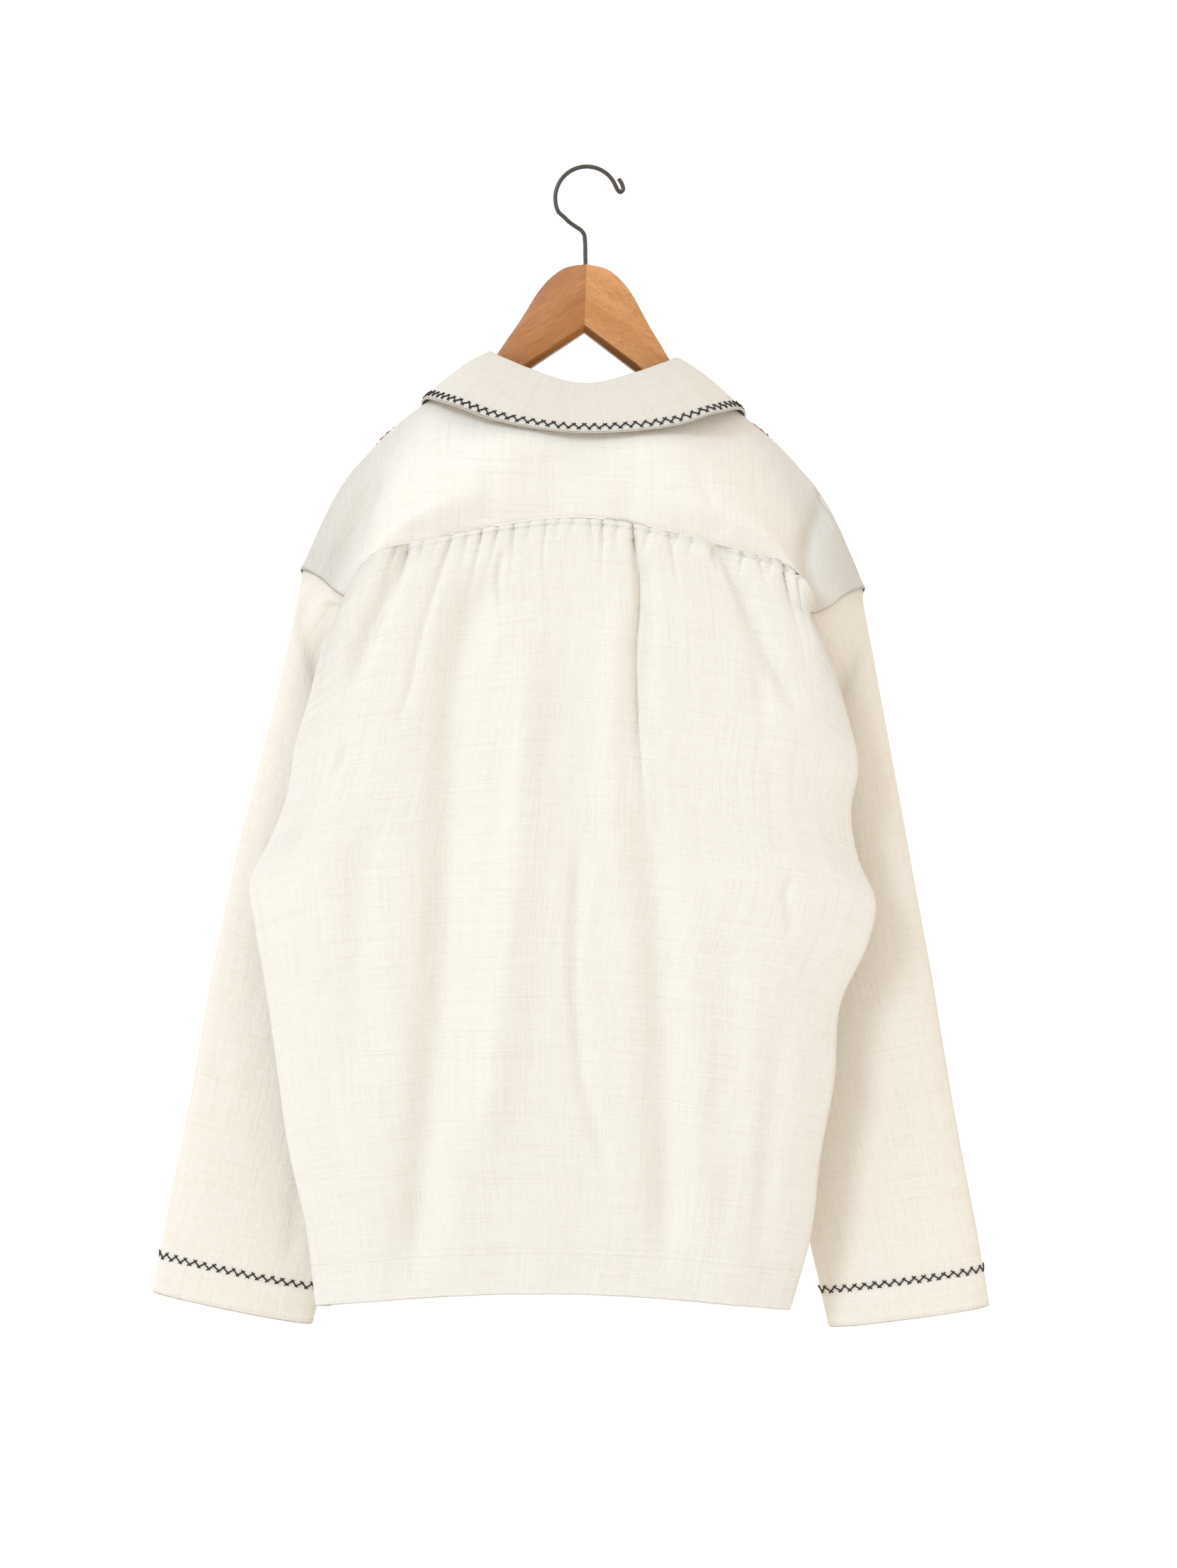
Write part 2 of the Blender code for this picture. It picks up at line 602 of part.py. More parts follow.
def front_surface(side, shares, drops):
    """A front, as the right one. shares run from 0 at the side to 1 past the middle, drops
    from the top edge to the hem."""
    edge = front_edge()
    length = chord_lengths(edge)
    top_line = through(length / length[-1], edge, shares)
    top = float(BODY[0][0])
    grid = []
    for drop in drops:
        height = top + drop * (HEM_SIDE - top)
        names = ("fore_x", "fore_y", "front_y")
        fore_x, fore_y, front_y = (float(body_at([height], name)[0]) for name in names)
        control = np.array([
            (fore_x, fore_y, height),
            (0.72 * fore_x, 0.45 * fore_y + 0.55 * front_y, height),
            (0.36 * fore_x, 0.05 * fore_y + 0.95 * front_y, height),
            (0, front_y, height),
            (-LAP, front_y, height),
        ])
        knots = chord_lengths(control)
        grid.append(through(knots / knots[-1], control, shares))
    grid = np.array(grid)
    off_top = top_line - grid[0]
    across = np.clip(grid[-1, :, 0] / grid[-1, 0, 0], 0, 1) * (1 if side == "right" else -1)
    for i, drop in enumerate(drops):
        grid[i, :, 2] += (1 - drop) * off_top[:, 2] + hem_offset(across, drop)
        grid[i, :, :2] += (1 - eased(drop / 0.45)) * off_top[:, :2]
    if side == "right":
        return grid
    inward = UNDERLAP * eased((LAP * 2.4 - grid[:, :, 0]) / (LAP * 1.2))
    return mirrored(grid - normals(grid) * outward_sign(grid, (0, 1, 0)) * inward[:, :, None])


def build_front(side, parent, collection):
    edge = front_edge()
    sewn = chord_lengths(edge)
    shares = np.sort(np.concatenate([sewn, (sewn[9:] + sewn[8:-1]) / 2])) / sewn[-1]
    length = BODY[0][0] - HEM_SIDE
    armhole = BODY[0][0] - np.array(ARMHOLE_HEIGHTS)
    below = np.array([*armhole, 200, 280, 370, 450, length - HEM_BAND, length])
    grid = front_surface(side, shares, below / length)
    thickness = hem_thickness(length - below, HEM_BAND)
    sign = outward_sign(grid, (0, 1, 0))
    cloth_wall(f"front_{side}", grid, thickness, sign, ("top", "left"), "cloth", parent, collection)


def collar_surface(shares, levels):
    """The collar as one turned cloth. levels run 0 to 1 up its stand, 1 to 2 round its roll and
    2 to 3 down its fall."""
    knots = both_shares(COLLAR_SHARES)
    lines = (COLLAR_SEAM, COLLAR_ROLL, COLLAR_EDGE)
    seam, roll, edge = (through(knots, both_sides(line), shares) for line in lines)
    stand = roll - seam
    up_way = unit(stand)
    fall_way = unit(edge - roll)
    out_way = unit(fall_way - (fall_way * up_way).sum(axis=1, keepdims=True) * up_way)
    lift = ROLL_RADIUS * up_way
    full_swing = out_way * (1 - math.cos(ROLL_TURN)) + up_way * math.sin(ROLL_TURN)
    turned = roll - lift + ROLL_RADIUS * full_swing
    width = np.linalg.norm(edge - turned, axis=1)[:, None]
    rows = []
    for level in levels:
        if level <= 1:
            rows.append(seam + (stand - lift) * level)
        elif level <= 2:
            turn = (level - 1) * ROLL_TURN
            swing = out_way * (1 - math.cos(turn)) + up_way * math.sin(turn)
            rows.append(roll - lift + ROLL_RADIUS * swing)
        else:
            bulge = COLLAR_BULGE * math.sin(math.pi * (level - 2)) * (width / 70) ** 2
            rows.append(turned + (edge - turned) * (level - 2) + bulge * up_way)
    return np.array(rows)


def build_collar(parent, collection):
    shares = np.linspace(-1, 1, 41)
    levels = np.array([0.04, 0.55, 1.0, 1.33, 1.67, 2.0, 2.3, 2.6, 2.85, 3.0])
    grid = collar_surface(shares, levels)
    found = normals(grid)[len(levels) - 2, len(shares) // 2]
    outward = 1.0 if found[1] < 0 else -1.0
    cloth_wall("collar", grid, COLLAR_CLOTH, outward, (), "collar_cloth", parent, collection)


def build_buttons(parent, collection):
    drops = np.linspace(0, 1, 61)
    line = front_surface("right", np.array([0.0, 0.9, 0.925, 0.95]), drops)[:, 1:]
    middle = np.array([
        [np.interp(0, row[::-1, 0], row[::-1, k]) for k in range(3)] for row in line
    ])
    for i in range(BUTTONS):
        height = BUTTON_TOP - i * BUTTON_PITCH
        y = np.interp(-height, -middle[:, 2], middle[:, 1])
        upper, lower = (np.interp(-height - way, -middle[:, 2], middle[:, 1]) for way in (6, -6))
        tilt = math.atan2(upper - lower, 12)
        size = {"radius": BUTTON_RADIUS * MM, "depth": BUTTON_THICK * MM}
        bpy.ops.mesh.primitive_cylinder_add(vertices=16, **size)
        made = bpy.context.object
        mesh = made.data
        bpy.data.objects.remove(made)
        button = add_object(f"button_{i + 1}", mesh, "button", parent, collection)
        lift = BUTTON_THICK / 2 + BUTTON_LIFT
        place = swayed(np.array([[0.0, y + lift * math.cos(tilt), height - lift * math.sin(tilt)]]))[0]
        button.rotation_euler = (math.pi / 2 - tilt, 0, 0)
        button.location = tuple(place * MM)


def arm_outline():
    """The right arm's outline in the hanger's own plane, past the mitre by a few millimetres."""
    past = 12.0
    top = np.array(ARM_TOP, float)
    smooth_top = through(chord_lengths(top), top, np.linspace(0, chord_lengths(top)[-1], 26))
    return [(-past, ARM_TOP[0][1]), *map(tuple, smooth_top), *ARM_TIP, *ARM_UNDER, (-past, ARM_UNDER[-1][1])]


def flat_solid(name, outline, thickness):
    """A flat outline given a thickness along Y, as a mesh."""
    curve = bpy.data.curves.new(name, "CURVE")
    curve.dimensions = "2D"
    curve.fill_mode = "BOTH"
    curve.extrude = thickness * MM / 2
    spline = curve.splines.new("POLY")
    spline.points.add(len(outline) - 1)
    for point, (x, z) in zip(spline.points, outline):
        point.co = (x * MM, z * MM, 0, 1)
    spline.use_cyclic_u = True
    holder = bpy.data.objects.new(name, curve)
    bpy.context.scene.collection.objects.link(holder)
    bpy.context.view_layer.update()
    graph = bpy.context.evaluated_depsgraph_get()
    mesh = bpy.data.meshes.new_from_object(holder.evaluated_get(graph))
    bpy.data.objects.remove(holder)
    mesh.transform(Matrix.Rotation(math.pi / 2, 4, "X"))
    return welded(mesh)


def welded(mesh):
    """The mesh with its loose caps joined to its sides."""
    work = bmesh.new()
    work.from_mesh(mesh)
    bmesh.ops.remove_doubles(work, verts=work.verts, dist=0.00001)
    bmesh.ops.recalc_face_normals(work, faces=work.faces)
    work.to_mesh(mesh)
    work.free()
    return mesh


def add_box(name, low, high, collection):
    """A box between two corners in millimetres, for cutting with."""
    bpy.ops.mesh.primitive_cube_add(size=1)
    box = bpy.context.object
    box.name = name
    low, high = np.array(low, float), np.array(high, float)
    box.data.transform(Matrix.Diagonal((*(high - low) * MM, 1)))
    box.data.transform(Matrix.Translation(tuple((low + high) / 2 * MM)))
    move_to(box, collection)
    return box


def move_to(obj, collection):
    for holder in list(obj.users_collection):
        holder.objects.unlink(obj)
    collection.objects.link(obj)
    obj.hide_render = True
    obj.display_type = "WIRE"


def build_hanger(parent, collection, cutters):
    """Two mitred wooden arms, bored for the stem of the hook."""
    bpy.ops.mesh.primitive_cylinder_add(vertices=20, radius=(WIRE + HOOK_FIT) * MM, depth=60 * MM)
    drill = bpy.context.object
    drill.name = "stem_drill"
    depth = ARM_TOP[0][1] - HOOK_STEM_DEPTH - HOOK_FIT
    drill.data.transform(Matrix.Translation((HOOK_STEM_X * MM, 0, (depth + 30) * MM)))
    move_to(drill, cutters)
    for side, sign in (("left", -1), ("right", 1)):
        mesh = flat_solid(f"arm_{side}", arm_outline(), WOOD_THICK)
        sweep = Matrix.Identity(4)
        sweep[1][0] = math.tan(ARM_SWEEP)
        mesh.transform(sweep)
        if sign < 0:
            mesh.transform(Matrix.Diagonal((-1, 1, 1, 1)))
            mesh.flip_normals()
        arm = add_object(f"hanger_arm_{side}", mesh, "wood", parent, collection)
        bevel = arm.modifiers.new("rounded edges", "BEVEL")
        bevel.width = WOOD_ROUND * MM
        bevel.segments = 2
        bevel.angle_limit = math.radians(50)
        reach = 40.0 * sign
        ends = sorted((MITRE_GAP / 2 * sign, -reach))
        trim = add_box(f"mitre_trim_{side}", (ends[0], -40, -160), (ends[1], 40, -40), cutters)
        trim.parent = parent
        for name, cutter in (("mitre", trim), ("stem hole", drill)):
            cut = arm.modifiers.new(name, "BOOLEAN")
            cut.operation = "DIFFERENCE"
            cut.solver = "EXACT"
            cut.object = cutter


def hook_line():
    """The middle of the hook's wire, from the bottom of its stem to its turned-up tip."""
    stem = [(HOOK_STEM_X, ARM_TOP[0][1] - HOOK_STEM_DEPTH), (HOOK_STEM_X, ARM_TOP[0][1])]
    arc = [
        (HOOK_ARC_X + HOOK_ARC * math.cos(a), WIRE - HOOK_ARC + HOOK_ARC * math.sin(a))
        for a in np.radians(np.linspace(206, 20, 12))
    ]
    line = np.array([(x, 0, z) for x, z in [*stem, *HOOK_BEND, *arc, *HOOK_END]])
    length = chord_lengths(line)
    return through(length, line, np.linspace(0, length[-1], 56))


def build_hook(parent, collection):
    curve = bpy.data.curves.new("hook", "CURVE")
    curve.dimensions = "3D"
    curve.bevel_depth = WIRE * MM
    curve.bevel_resolution = 2
    curve.use_fill_caps = True
    line = hook_line()
    spline = curve.splines.new("POLY")
    spline.points.add(len(line) - 1)
    for point, place in zip(spline.points, line):
        point.co = (*(value * MM for value in place), 1)
    spline.use_smooth = True
    hook = bpy.data.objects.new("hook", curve)
    curve.materials.append(make_material("wire"))
    hook.parent = parent
    collection.objects.link(hook)


def clear_scene():
    for obj in list(bpy.data.objects):
        bpy.data.objects.remove(obj)


def new_collection(name):
    made = bpy.data.collections.new(name)
    bpy.context.scene.collection.children.link(made)
    return made


def main():
    clear_scene()
    collection = new_collection("shirt_on_hanger")
    cutters = new_collection("cutters")
    cutters.hide_render = True
    lean = bpy.data.objects.new("lean", None)
    lean.rotation_euler = (0, LEAN, 0)
    lean.location = (-LEAN_HEIGHT * math.sin(LEAN) * MM, 0, LEAN_HEIGHT * (1 - math.cos(LEAN)) * MM)
    collection.objects.link(lean)
    build_back(lean, collection)
    build_yoke(lean, collection)
    build_collar(lean, collection)
    for side in ("left", "right"):
        build_sleeve(side, lean, collection)
        build_front(side, lean, collection)
    build_buttons(lean, collection)
    build_hanger(lean, collection, cutters)
    build_hook(None, collection)


main()
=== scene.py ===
# %% [markdown]
# # A gathered cotton shirt on a beech hanger
#
# This script dresses a plain solid model of a shirt. The solids already have the right sizes, so
# the work here is what makes cloth look like cloth: a thin edge, soft folds, a visible weave and
# hand stitching. Each step explains what the real thing is and how it is made in Blender.
#
# The frame holds the solid model. Its origin is the inner top of the hanger's hook, +Z is up, and
# the back of the shirt faces -Y. Lengths in the tables are in millimetres and become metres when
# a mesh is made.

# %% Load the frame
import math

import bmesh
import bpy
import numpy as np
from mathutils import Matrix, Vector


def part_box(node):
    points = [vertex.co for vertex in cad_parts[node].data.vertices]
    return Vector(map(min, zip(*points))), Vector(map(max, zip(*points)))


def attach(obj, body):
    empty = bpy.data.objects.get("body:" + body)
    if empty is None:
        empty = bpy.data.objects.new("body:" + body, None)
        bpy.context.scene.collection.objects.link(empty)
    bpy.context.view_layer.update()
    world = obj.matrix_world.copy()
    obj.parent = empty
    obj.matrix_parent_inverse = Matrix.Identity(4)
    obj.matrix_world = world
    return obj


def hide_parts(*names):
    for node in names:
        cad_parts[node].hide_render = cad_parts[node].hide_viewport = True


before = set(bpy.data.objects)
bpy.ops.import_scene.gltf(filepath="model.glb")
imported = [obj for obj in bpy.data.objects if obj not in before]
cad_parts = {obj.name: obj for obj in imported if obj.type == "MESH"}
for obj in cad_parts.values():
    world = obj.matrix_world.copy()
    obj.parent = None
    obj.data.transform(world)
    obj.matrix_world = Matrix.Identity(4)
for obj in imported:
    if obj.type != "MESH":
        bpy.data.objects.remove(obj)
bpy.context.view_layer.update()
MM = 0.001
print("solid nodes:", len(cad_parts))

# %% [markdown]
# ## Camera
#
# The picture was taken level, from straight behind, at about chest height. A long lens keeps the
# shirt's sides almost parallel. The frame's height at the shirt is known, so the focal length
# follows from it: lens = sensor height x distance / height that is seen.

# %% Camera
PICTURE_HIGH = 2212  # pixels
MM_PER_PIXEL = 0.55
CAMERA_AWAY = 2.0
CAMERA_SPOT = (0.002475, -CAMERA_AWAY, -0.4774)
seen_height = PICTURE_HIGH * MM_PER_PIXEL * MM
camera_data = bpy.data.cameras.new("camera")
camera_data.sensor_fit = "VERTICAL"
camera_data.sensor_height = 36.0
camera_data.lens = camera_data.sensor_height * CAMERA_AWAY / seen_height
camera = bpy.data.objects.new("camera", camera_data)
camera.location = CAMERA_SPOT
camera.rotation_euler = (math.pi / 2, 0, 0)
bpy.context.scene.collection.objects.link(camera)
bpy.context.scene.camera = camera
print("lens:", round(camera_data.lens, 2), "mm")

# %% [markdown]
# ## Studio
#
# A bright white room gives the even light of a catalogue picture. One far, soft key light comes
# from the left, about 40 degrees off the view, and a little from above. The body stands about
# 35 mm in front of the right sleeve, and that angle throws a shadow about 30 mm wide on it, as in
# the picture. The room is a little warm and the key a little cool: lit cloth comes out cream and
# shaded cloth warm, while the room's white stays white. The floor is a plain pale disc well below
# the cuffs.

# %% World, lamp and floor
ROOM_LIGHT = 1.13
ROOM_COLOUR = (1.0, 0.945, 0.888)
KEY_FROM = (-0.54, -0.76, 0.40)
KEY_SOFTNESS = math.radians(16)
KEY_STRENGTH = 1.4
KEY_COLOUR = (0.58, 0.78, 1.0)
FLOOR_DROP = -1.5
FLOOR_RADIUS = 1.2

scene = bpy.context.scene
scene.view_settings.view_transform = "Standard"
world = bpy.data.worlds.new("white room")
world.use_nodes = True
world.node_tree.nodes["Background"].inputs["Color"].default_value = (*ROOM_COLOUR, 1)
world.node_tree.nodes["Background"].inputs["Strength"].default_value = ROOM_LIGHT
scene.world = world

lamp_data = bpy.data.lights.new("soft key", "SUN")
lamp_data.angle = KEY_SOFTNESS
lamp_data.energy = KEY_STRENGTH
lamp_data.color = KEY_COLOUR
lamp = bpy.data.objects.new("soft key", lamp_data)
lamp.rotation_euler = (-Vector(KEY_FROM)).to_track_quat("-Z", "Y").to_euler()
scene.collection.objects.link(lamp)


def link_mesh(name, mesh):
    """A new object for a mesh, in the scene."""
    obj = bpy.data.objects.new(name, mesh)
    scene.collection.objects.link(obj)
    return obj


floor_mesh = bpy.data.meshes.new("floor")
disc = bmesh.new()
bmesh.ops.create_circle(disc, cap_ends=True, radius=FLOOR_RADIUS, segments=96)
bmesh.ops.translate(disc, verts=disc.verts, vec=(0, 0, FLOOR_DROP))
disc.to_mesh(floor_mesh)
disc.free()
floor = link_mesh("floor", floor_mesh)

# %% [markdown]
# ## Building materials from nodes
#
# A material is a small network. These helpers add a node, set its sockets and wire it up, so that
# each finish below reads as a short recipe. Numbers that are the same all over a surface go
# straight on the shader.

# %% Node helpers
def add_node(tree, kind, links=(), **values):
    """Adds a node. values are its properties, links pairs of (socket, value or output)."""
    made = tree.nodes.new(kind)
    for key, value in values.items():
        setattr(made, key, value)
    for socket, value in links:
        if isinstance(value, bpy.types.NodeSocket):
            tree.links.new(value, made.inputs[socket])
        else:
            made.inputs[socket].default_value = value
    return made


class Recipe:
    """A material under construction: its node tree and the Principled shader in it."""

    def __init__(self, name, roughness, **constants):
        self.material = bpy.data.materials.new(name)
        self.material.use_nodes = True
        self.tree = self.material.node_tree
        self.shader = self.tree.nodes["Principled BSDF"]
        self.shader.inputs["Roughness"].default_value = roughness
        for socket, value in constants.items():
            self.shader.inputs[socket.replace("_", " ")].default_value = value

    def node(self, kind, links=(), **values):
        return add_node(self.tree, "ShaderNode" + kind, links, **values)

    def noise(self, vector, scale, detail, output=0):
        """Soft noise from 0 to 1, in cells given as counts per metre. Its output 1 has three parts."""
        where = self.node("Mapping", [(0, vector), (3, scale)]).outputs[0]
        rows = [("Vector", where), ("Scale", 1.0), ("Detail", detail)]
        return self.node("TexNoise", rows).outputs[output]

    def maths(self, operation, a, b=0.0):
        return self.node("Math", [(0, a), (1, b)], operation=operation).outputs[0]

    def ranged(self, value, low, high, to_low=0.0, to_high=1.0):
        rows = [(0, value), (1, low), (2, high), (3, to_low), (4, to_high)]
        return self.node("MapRange", rows).outputs[0]

    def mixed(self, share, a, b):
        """Two colours mixed by a share."""
        colours = [c if isinstance(c, bpy.types.NodeSocket) else (*c, 1) for c in (a, b)]
        rows = [(0, share), (6, colours[0]), (7, colours[1])]
        return self.node("Mix", rows, data_type="RGBA", blend_type="MIX").outputs[2]

    def bump(self, height, distance, below=None):
        rows = [("Height", height), ("Distance", distance), ("Strength", 1.0)]
        if below is not None:
            rows.append(("Normal", below))
        return self.node("Bump", rows).outputs[0]

    def finish(self, colour, normal, roughness=None):
        self.tree.links.new(colour, self.shader.inputs["Base Color"])
        self.tree.links.new(normal, self.shader.inputs["Normal"])
        if roughness is not None:
            self.tree.links.new(roughness, self.shader.inputs["Roughness"])
        return self.material


# %% [markdown]
# ## Cotton
#
# The cloth is a plain weave of unbleached cotton with thick and thin places in its yarns. The
# weave is two sets of waves at right angles. The thick places, called slubs, are noise stretched
# along one yarn direction or the other. Its coordinates are the cloth's own UV map, in metres, so
# yarns follow the folds as they do on the loom's cloth. A few seed specks sit in the yarn, and a
# slow change between a pinker and a yellower cream keeps large areas alive.

# %% Cotton
YARN = 0.00062  # spacing of the yarns
WANDER_CELLS, WANDER = (90, 90, 90), 0.0007  # the yarns stray this far from straight lines
SLUBS = (
    # cells per metre across and down the cloth, and the noise's detail
    ((1150, 26, 1), 1.5), ((22, 1150, 1), 1.5), ((420, 9, 1), 1.0), ((9, 420, 1), 1.0)
)
COTTON = (0.775, 0.732, 0.648)
COTTON_PALE = (0.81, 0.778, 0.706)
COTTON_DARK = (0.70, 0.628, 0.51)
COTTON_PINK = (0.777, 0.728, 0.648)
SPECK = (0.34, 0.29, 0.24)


def tinted(colours, tone):
    return [tuple(c * t for c, t in zip(colour, tone)) for colour in colours]


def cotton(name, tone, crinkle):
    """Slubby cotton. tone tints it, and crinkle is the depth of its small wrinkles."""
    recipe = Recipe(name, 0.85, Sheen_Weight=0.25, Sheen_Roughness=0.6, Specular_IOR_Level=0.2)
    flat = recipe.node("UVMap", uv_map="cloth").outputs[0]
    base, pale, dark, pink = tinted((COTTON, COTTON_PALE, COTTON_DARK, COTTON_PINK), tone)
    wander = recipe.noise(flat, WANDER_CELLS, 2.0, output=1)
    stray = [(0, wander), (1, (WANDER, WANDER, 0))]
    shift = recipe.node("VectorMath", stray, operation="MULTIPLY").outputs[0]
    yarns = recipe.node("VectorMath", [(0, flat), (1, shift)], operation="ADD").outputs[0]
    parts = recipe.node("SeparateXYZ", [(0, yarns)]).outputs
    waves = [recipe.maths("SINE", recipe.maths("MULTIPLY", part, 2 * math.pi / YARN)) for part in parts[:2]]
    weave = recipe.maths("MULTIPLY", *waves)
    slubs = [recipe.noise(flat, *row) for row in SLUBS]
    yarn_sum = recipe.maths("ADD", recipe.maths("ADD", *slubs[:2]), recipe.maths("ADD", *slubs[2:]))
    slub = recipe.ranged(yarn_sum, 1.45, 2.55)
    patch = recipe.ranged(recipe.noise(flat, (11, 7, 1), 3.0), 0.38, 0.62)
    colour = recipe.mixed(patch, base, pink)
    colour = recipe.mixed(recipe.maths("MULTIPLY", slub, 0.8), colour, pale)
    thin = recipe.ranged(yarn_sum, 1.9, 1.4, 0.0, 0.42)
    colour = recipe.mixed(thin, colour, dark)
    speck_cells = recipe.ranged(recipe.noise(flat, (650, 420, 1), 2.0), 0.79, 0.83)
    colour = recipe.mixed(recipe.maths("MULTIPLY", speck_cells, 0.7), colour, SPECK)
    wrinkle = recipe.noise(flat, (210, 90, 1), 3.0)
    normal = recipe.bump(wrinkle, crinkle * 3)
    normal = recipe.bump(slub, 0.00035, normal)
    normal = recipe.bump(weave, 0.00006, normal)
    rough = recipe.ranged(slub, 0.0, 1.0, 0.95, 0.8)
    return recipe.finish(colour, normal, rough)


body_cotton = cotton("body cotton", (1.0, 1.0, 1.0), 0.00013)
# The sleeves take a warmer copy of the cotton and the collar a darker one: painted shade on the same cloth.
sleeve_cotton_painted_warm_shade = cotton("sleeve cotton painted warm shade", (1.0, 0.975, 0.95), 0.00028)
collar_cotton_painted_shade = cotton("collar cotton painted shade", (0.862, 0.846, 0.824), 0.0001)

# %% [markdown]
# ## Threads, wood, wire and buttons
#
# Stitching thread is a soft two-ply cord: nearly one colour, with a fine twist that breaks up the
# light. Beech has a plain straight grain with short dark flecks. The hook is drawn steel wire
# under dark lacquer. The buttons are pale shell-like discs.

# %% Small finishes
def thread(name, dark, light):
    """A matt twisted thread between two close colours."""
    recipe = Recipe(name, 0.75, Sheen_Weight=0.15, Specular_IOR_Level=0.25)
    where = recipe.node("TexCoord").outputs["Object"]
    fibre = recipe.noise(where, (2600, 2600, 2600), 2.0)
    patches = recipe.noise(where, (160, 160, 160), 1.0)
    share = recipe.ranged(recipe.maths("ADD", fibre, patches), 0.7, 1.3)
    return recipe.finish(recipe.mixed(share, dark, light), recipe.bump(fibre, 0.0002))


black_thread = thread("black thread", (0.004, 0.004, 0.005), (0.014, 0.013, 0.013))
cream_thread = thread("cream thread", (0.74, 0.68, 0.55), (0.86, 0.82, 0.72))
red_thread = thread("red thread", (0.19, 0.008, 0.022), (0.33, 0.02, 0.045))

BEECH = (0.44, 0.185, 0.058)
BEECH_PALE = (0.56, 0.262, 0.100)
BEECH_DARK = (0.22, 0.078, 0.022)
GRAIN_TURN = math.radians(31)


def beech(name, side, tone, fleck_strength):
    """Beech with its grain running down one arm of the hanger."""
    recipe = Recipe(name, 0.5, Coat_Weight=0.08, Coat_Roughness=0.3, Specular_IOR_Level=0.3)
    where = recipe.node("TexCoord").outputs["Object"]
    rows = [(0, where), (2, (0, side * GRAIN_TURN, 0))]
    turned = recipe.node("Mapping", rows, vector_type="TEXTURE").outputs[0]
    rings = recipe.noise(turned, (5, 60, 110), 3.0)
    fine = recipe.noise(turned, (26, 900, 900), 2.0)
    fleck = recipe.noise(turned, (230, 1500, 1700), 1.5)
    base, pale, dark = tinted((BEECH, BEECH_PALE, BEECH_DARK), tone)
    colour = recipe.mixed(recipe.ranged(rings, 0.32, 0.68), base, pale)
    colour = recipe.mixed(recipe.ranged(fine, 0.45, 0.75, 0.0, 0.35), colour, dark)
    colour = recipe.mixed(recipe.ranged(fleck, 0.62, 0.72, 0.0, fleck_strength), colour, dark)
    normal = recipe.bump(fleck, 0.00012, recipe.bump(fine, 0.00010))
    return recipe.finish(colour, normal, recipe.ranged(fine, 0.3, 0.7, 0.34, 0.46))


# The left arm takes a darker copy of the beech and the right arm a lighter, cooler one: painted shade and
# painted light for how the light meets each side of the mitre.
beech_left_painted_shade = beech("beech left painted shade", -1, (0.75, 0.64, 0.46), 0.35)
beech_right_painted_light = beech("beech right painted light", 1, (1.13, 1.18, 1.25), 0.85)
# The underside and the chamfer take a darker copy: painted shade for the shadow under the arms.
beech_under_painted_shade = beech("beech underside painted shade", 1, (0.46, 0.42, 0.38), 0.5)


def mottled(recipe, cells, detail, spread, dark, light, relief, gloss=None):
    """A finish in soft patches of two close colours. gloss is the patches' roughness, if it varies."""
    where = recipe.node("TexCoord").outputs["Object"]
    patches = recipe.noise(where, cells, detail)
    share = recipe.ranged(patches, *spread) if spread else patches
    rough = recipe.ranged(patches, 0.3, 0.7, *gloss) if gloss else None
    return recipe.finish(recipe.mixed(share, dark, light), recipe.bump(patches, relief), rough)


wire_lacquer = mottled(
    Recipe("dark lacquered wire", 0.3, Coat_Weight=0.4, Coat_Roughness=0.15),
    (420, 420, 420), 3.0, (0.35, 0.7), (0.016, 0.014, 0.012), (0.040, 0.034, 0.028), 0.00005, (0.26, 0.42),
)
button_shell = mottled(
    Recipe("shell button", 0.3, Coat_Weight=0.3, Coat_Roughness=0.1),
    (150, 150, 420), 4.0, (0.35, 0.65), (0.62, 0.55, 0.42), (0.82, 0.78, 0.68), 0.0001, (0.25, 0.4),
)
floor_mesh.materials.append(mottled(
    Recipe("pale floor", 0.8), (6, 6, 6), 3.0, None, (0.84, 0.835, 0.82), (0.87, 0.865, 0.85), 0.0005
))

# %% [markdown]
# ## The shirt's pattern
#
# The pattern is the same as in the solid model: short tables of where the cloth passes, and
# smooth curves through them. Here the curves are read at many more places, which leaves room for
# folds. First come the small tools for curves and grids.

# %% Curves and grids
def through(knots, values, at):
    """A smooth curve through values at knots, read at the places at. Values may be points."""
    knots, values, at = np.asarray(knots, float), np.asarray(values, float), np.asarray(at, float)
    flat = values.reshape(len(knots), -1)
    step = np.diff(knots)[:, None]
    slope = np.diff(flat, axis=0) / step
    middle = (slope[:-1] * step[1:] + slope[1:] * step[:-1]) / (step[1:] + step[:-1])
    tangent = np.vstack([slope[:1], middle, slope[-1:]])
    i = np.clip(np.searchsorted(knots, at, side="right") - 1, 0, len(knots) - 2)
    h = step[i]
    u = ((at - knots[i])[:, None]) / h
    found = (
        (2 * u**3 - 3 * u**2 + 1) * flat[i]
        + (u**3 - 2 * u**2 + u) * h * tangent[i]
        + (3 * u**2 - 2 * u**3) * flat[i + 1]
        + (u**3 - u**2) * h * tangent[i + 1]
    )
    return found.reshape(at.shape + values.shape[1:])


def chord_lengths(points):
    """Distance along a line of points, from its first point."""
    return np.concatenate([[0.0], np.cumsum(np.linalg.norm(np.diff(points, axis=0), axis=1))])


def run_lengths(grid, axis):
    """The same for each column (axis 0) or each row (axis 1) of a grid of points."""
    steps = np.cumsum(np.linalg.norm(np.diff(grid, axis=axis), axis=2), axis=axis)
    return np.concatenate([np.zeros_like(np.take(steps, [0], axis=axis)), steps], axis=axis)


def unit(vectors):
    return vectors / np.linalg.norm(vectors, axis=-1, keepdims=True)


def eased(x):
    """0 below 0, 1 above 1 and a smooth step between."""
    x = np.clip(x, 0.0, 1.0)
    return x * x * (3 - 2 * x)


def mirrored(points):
    return np.asarray(points, float) * (-1, 1, 1)


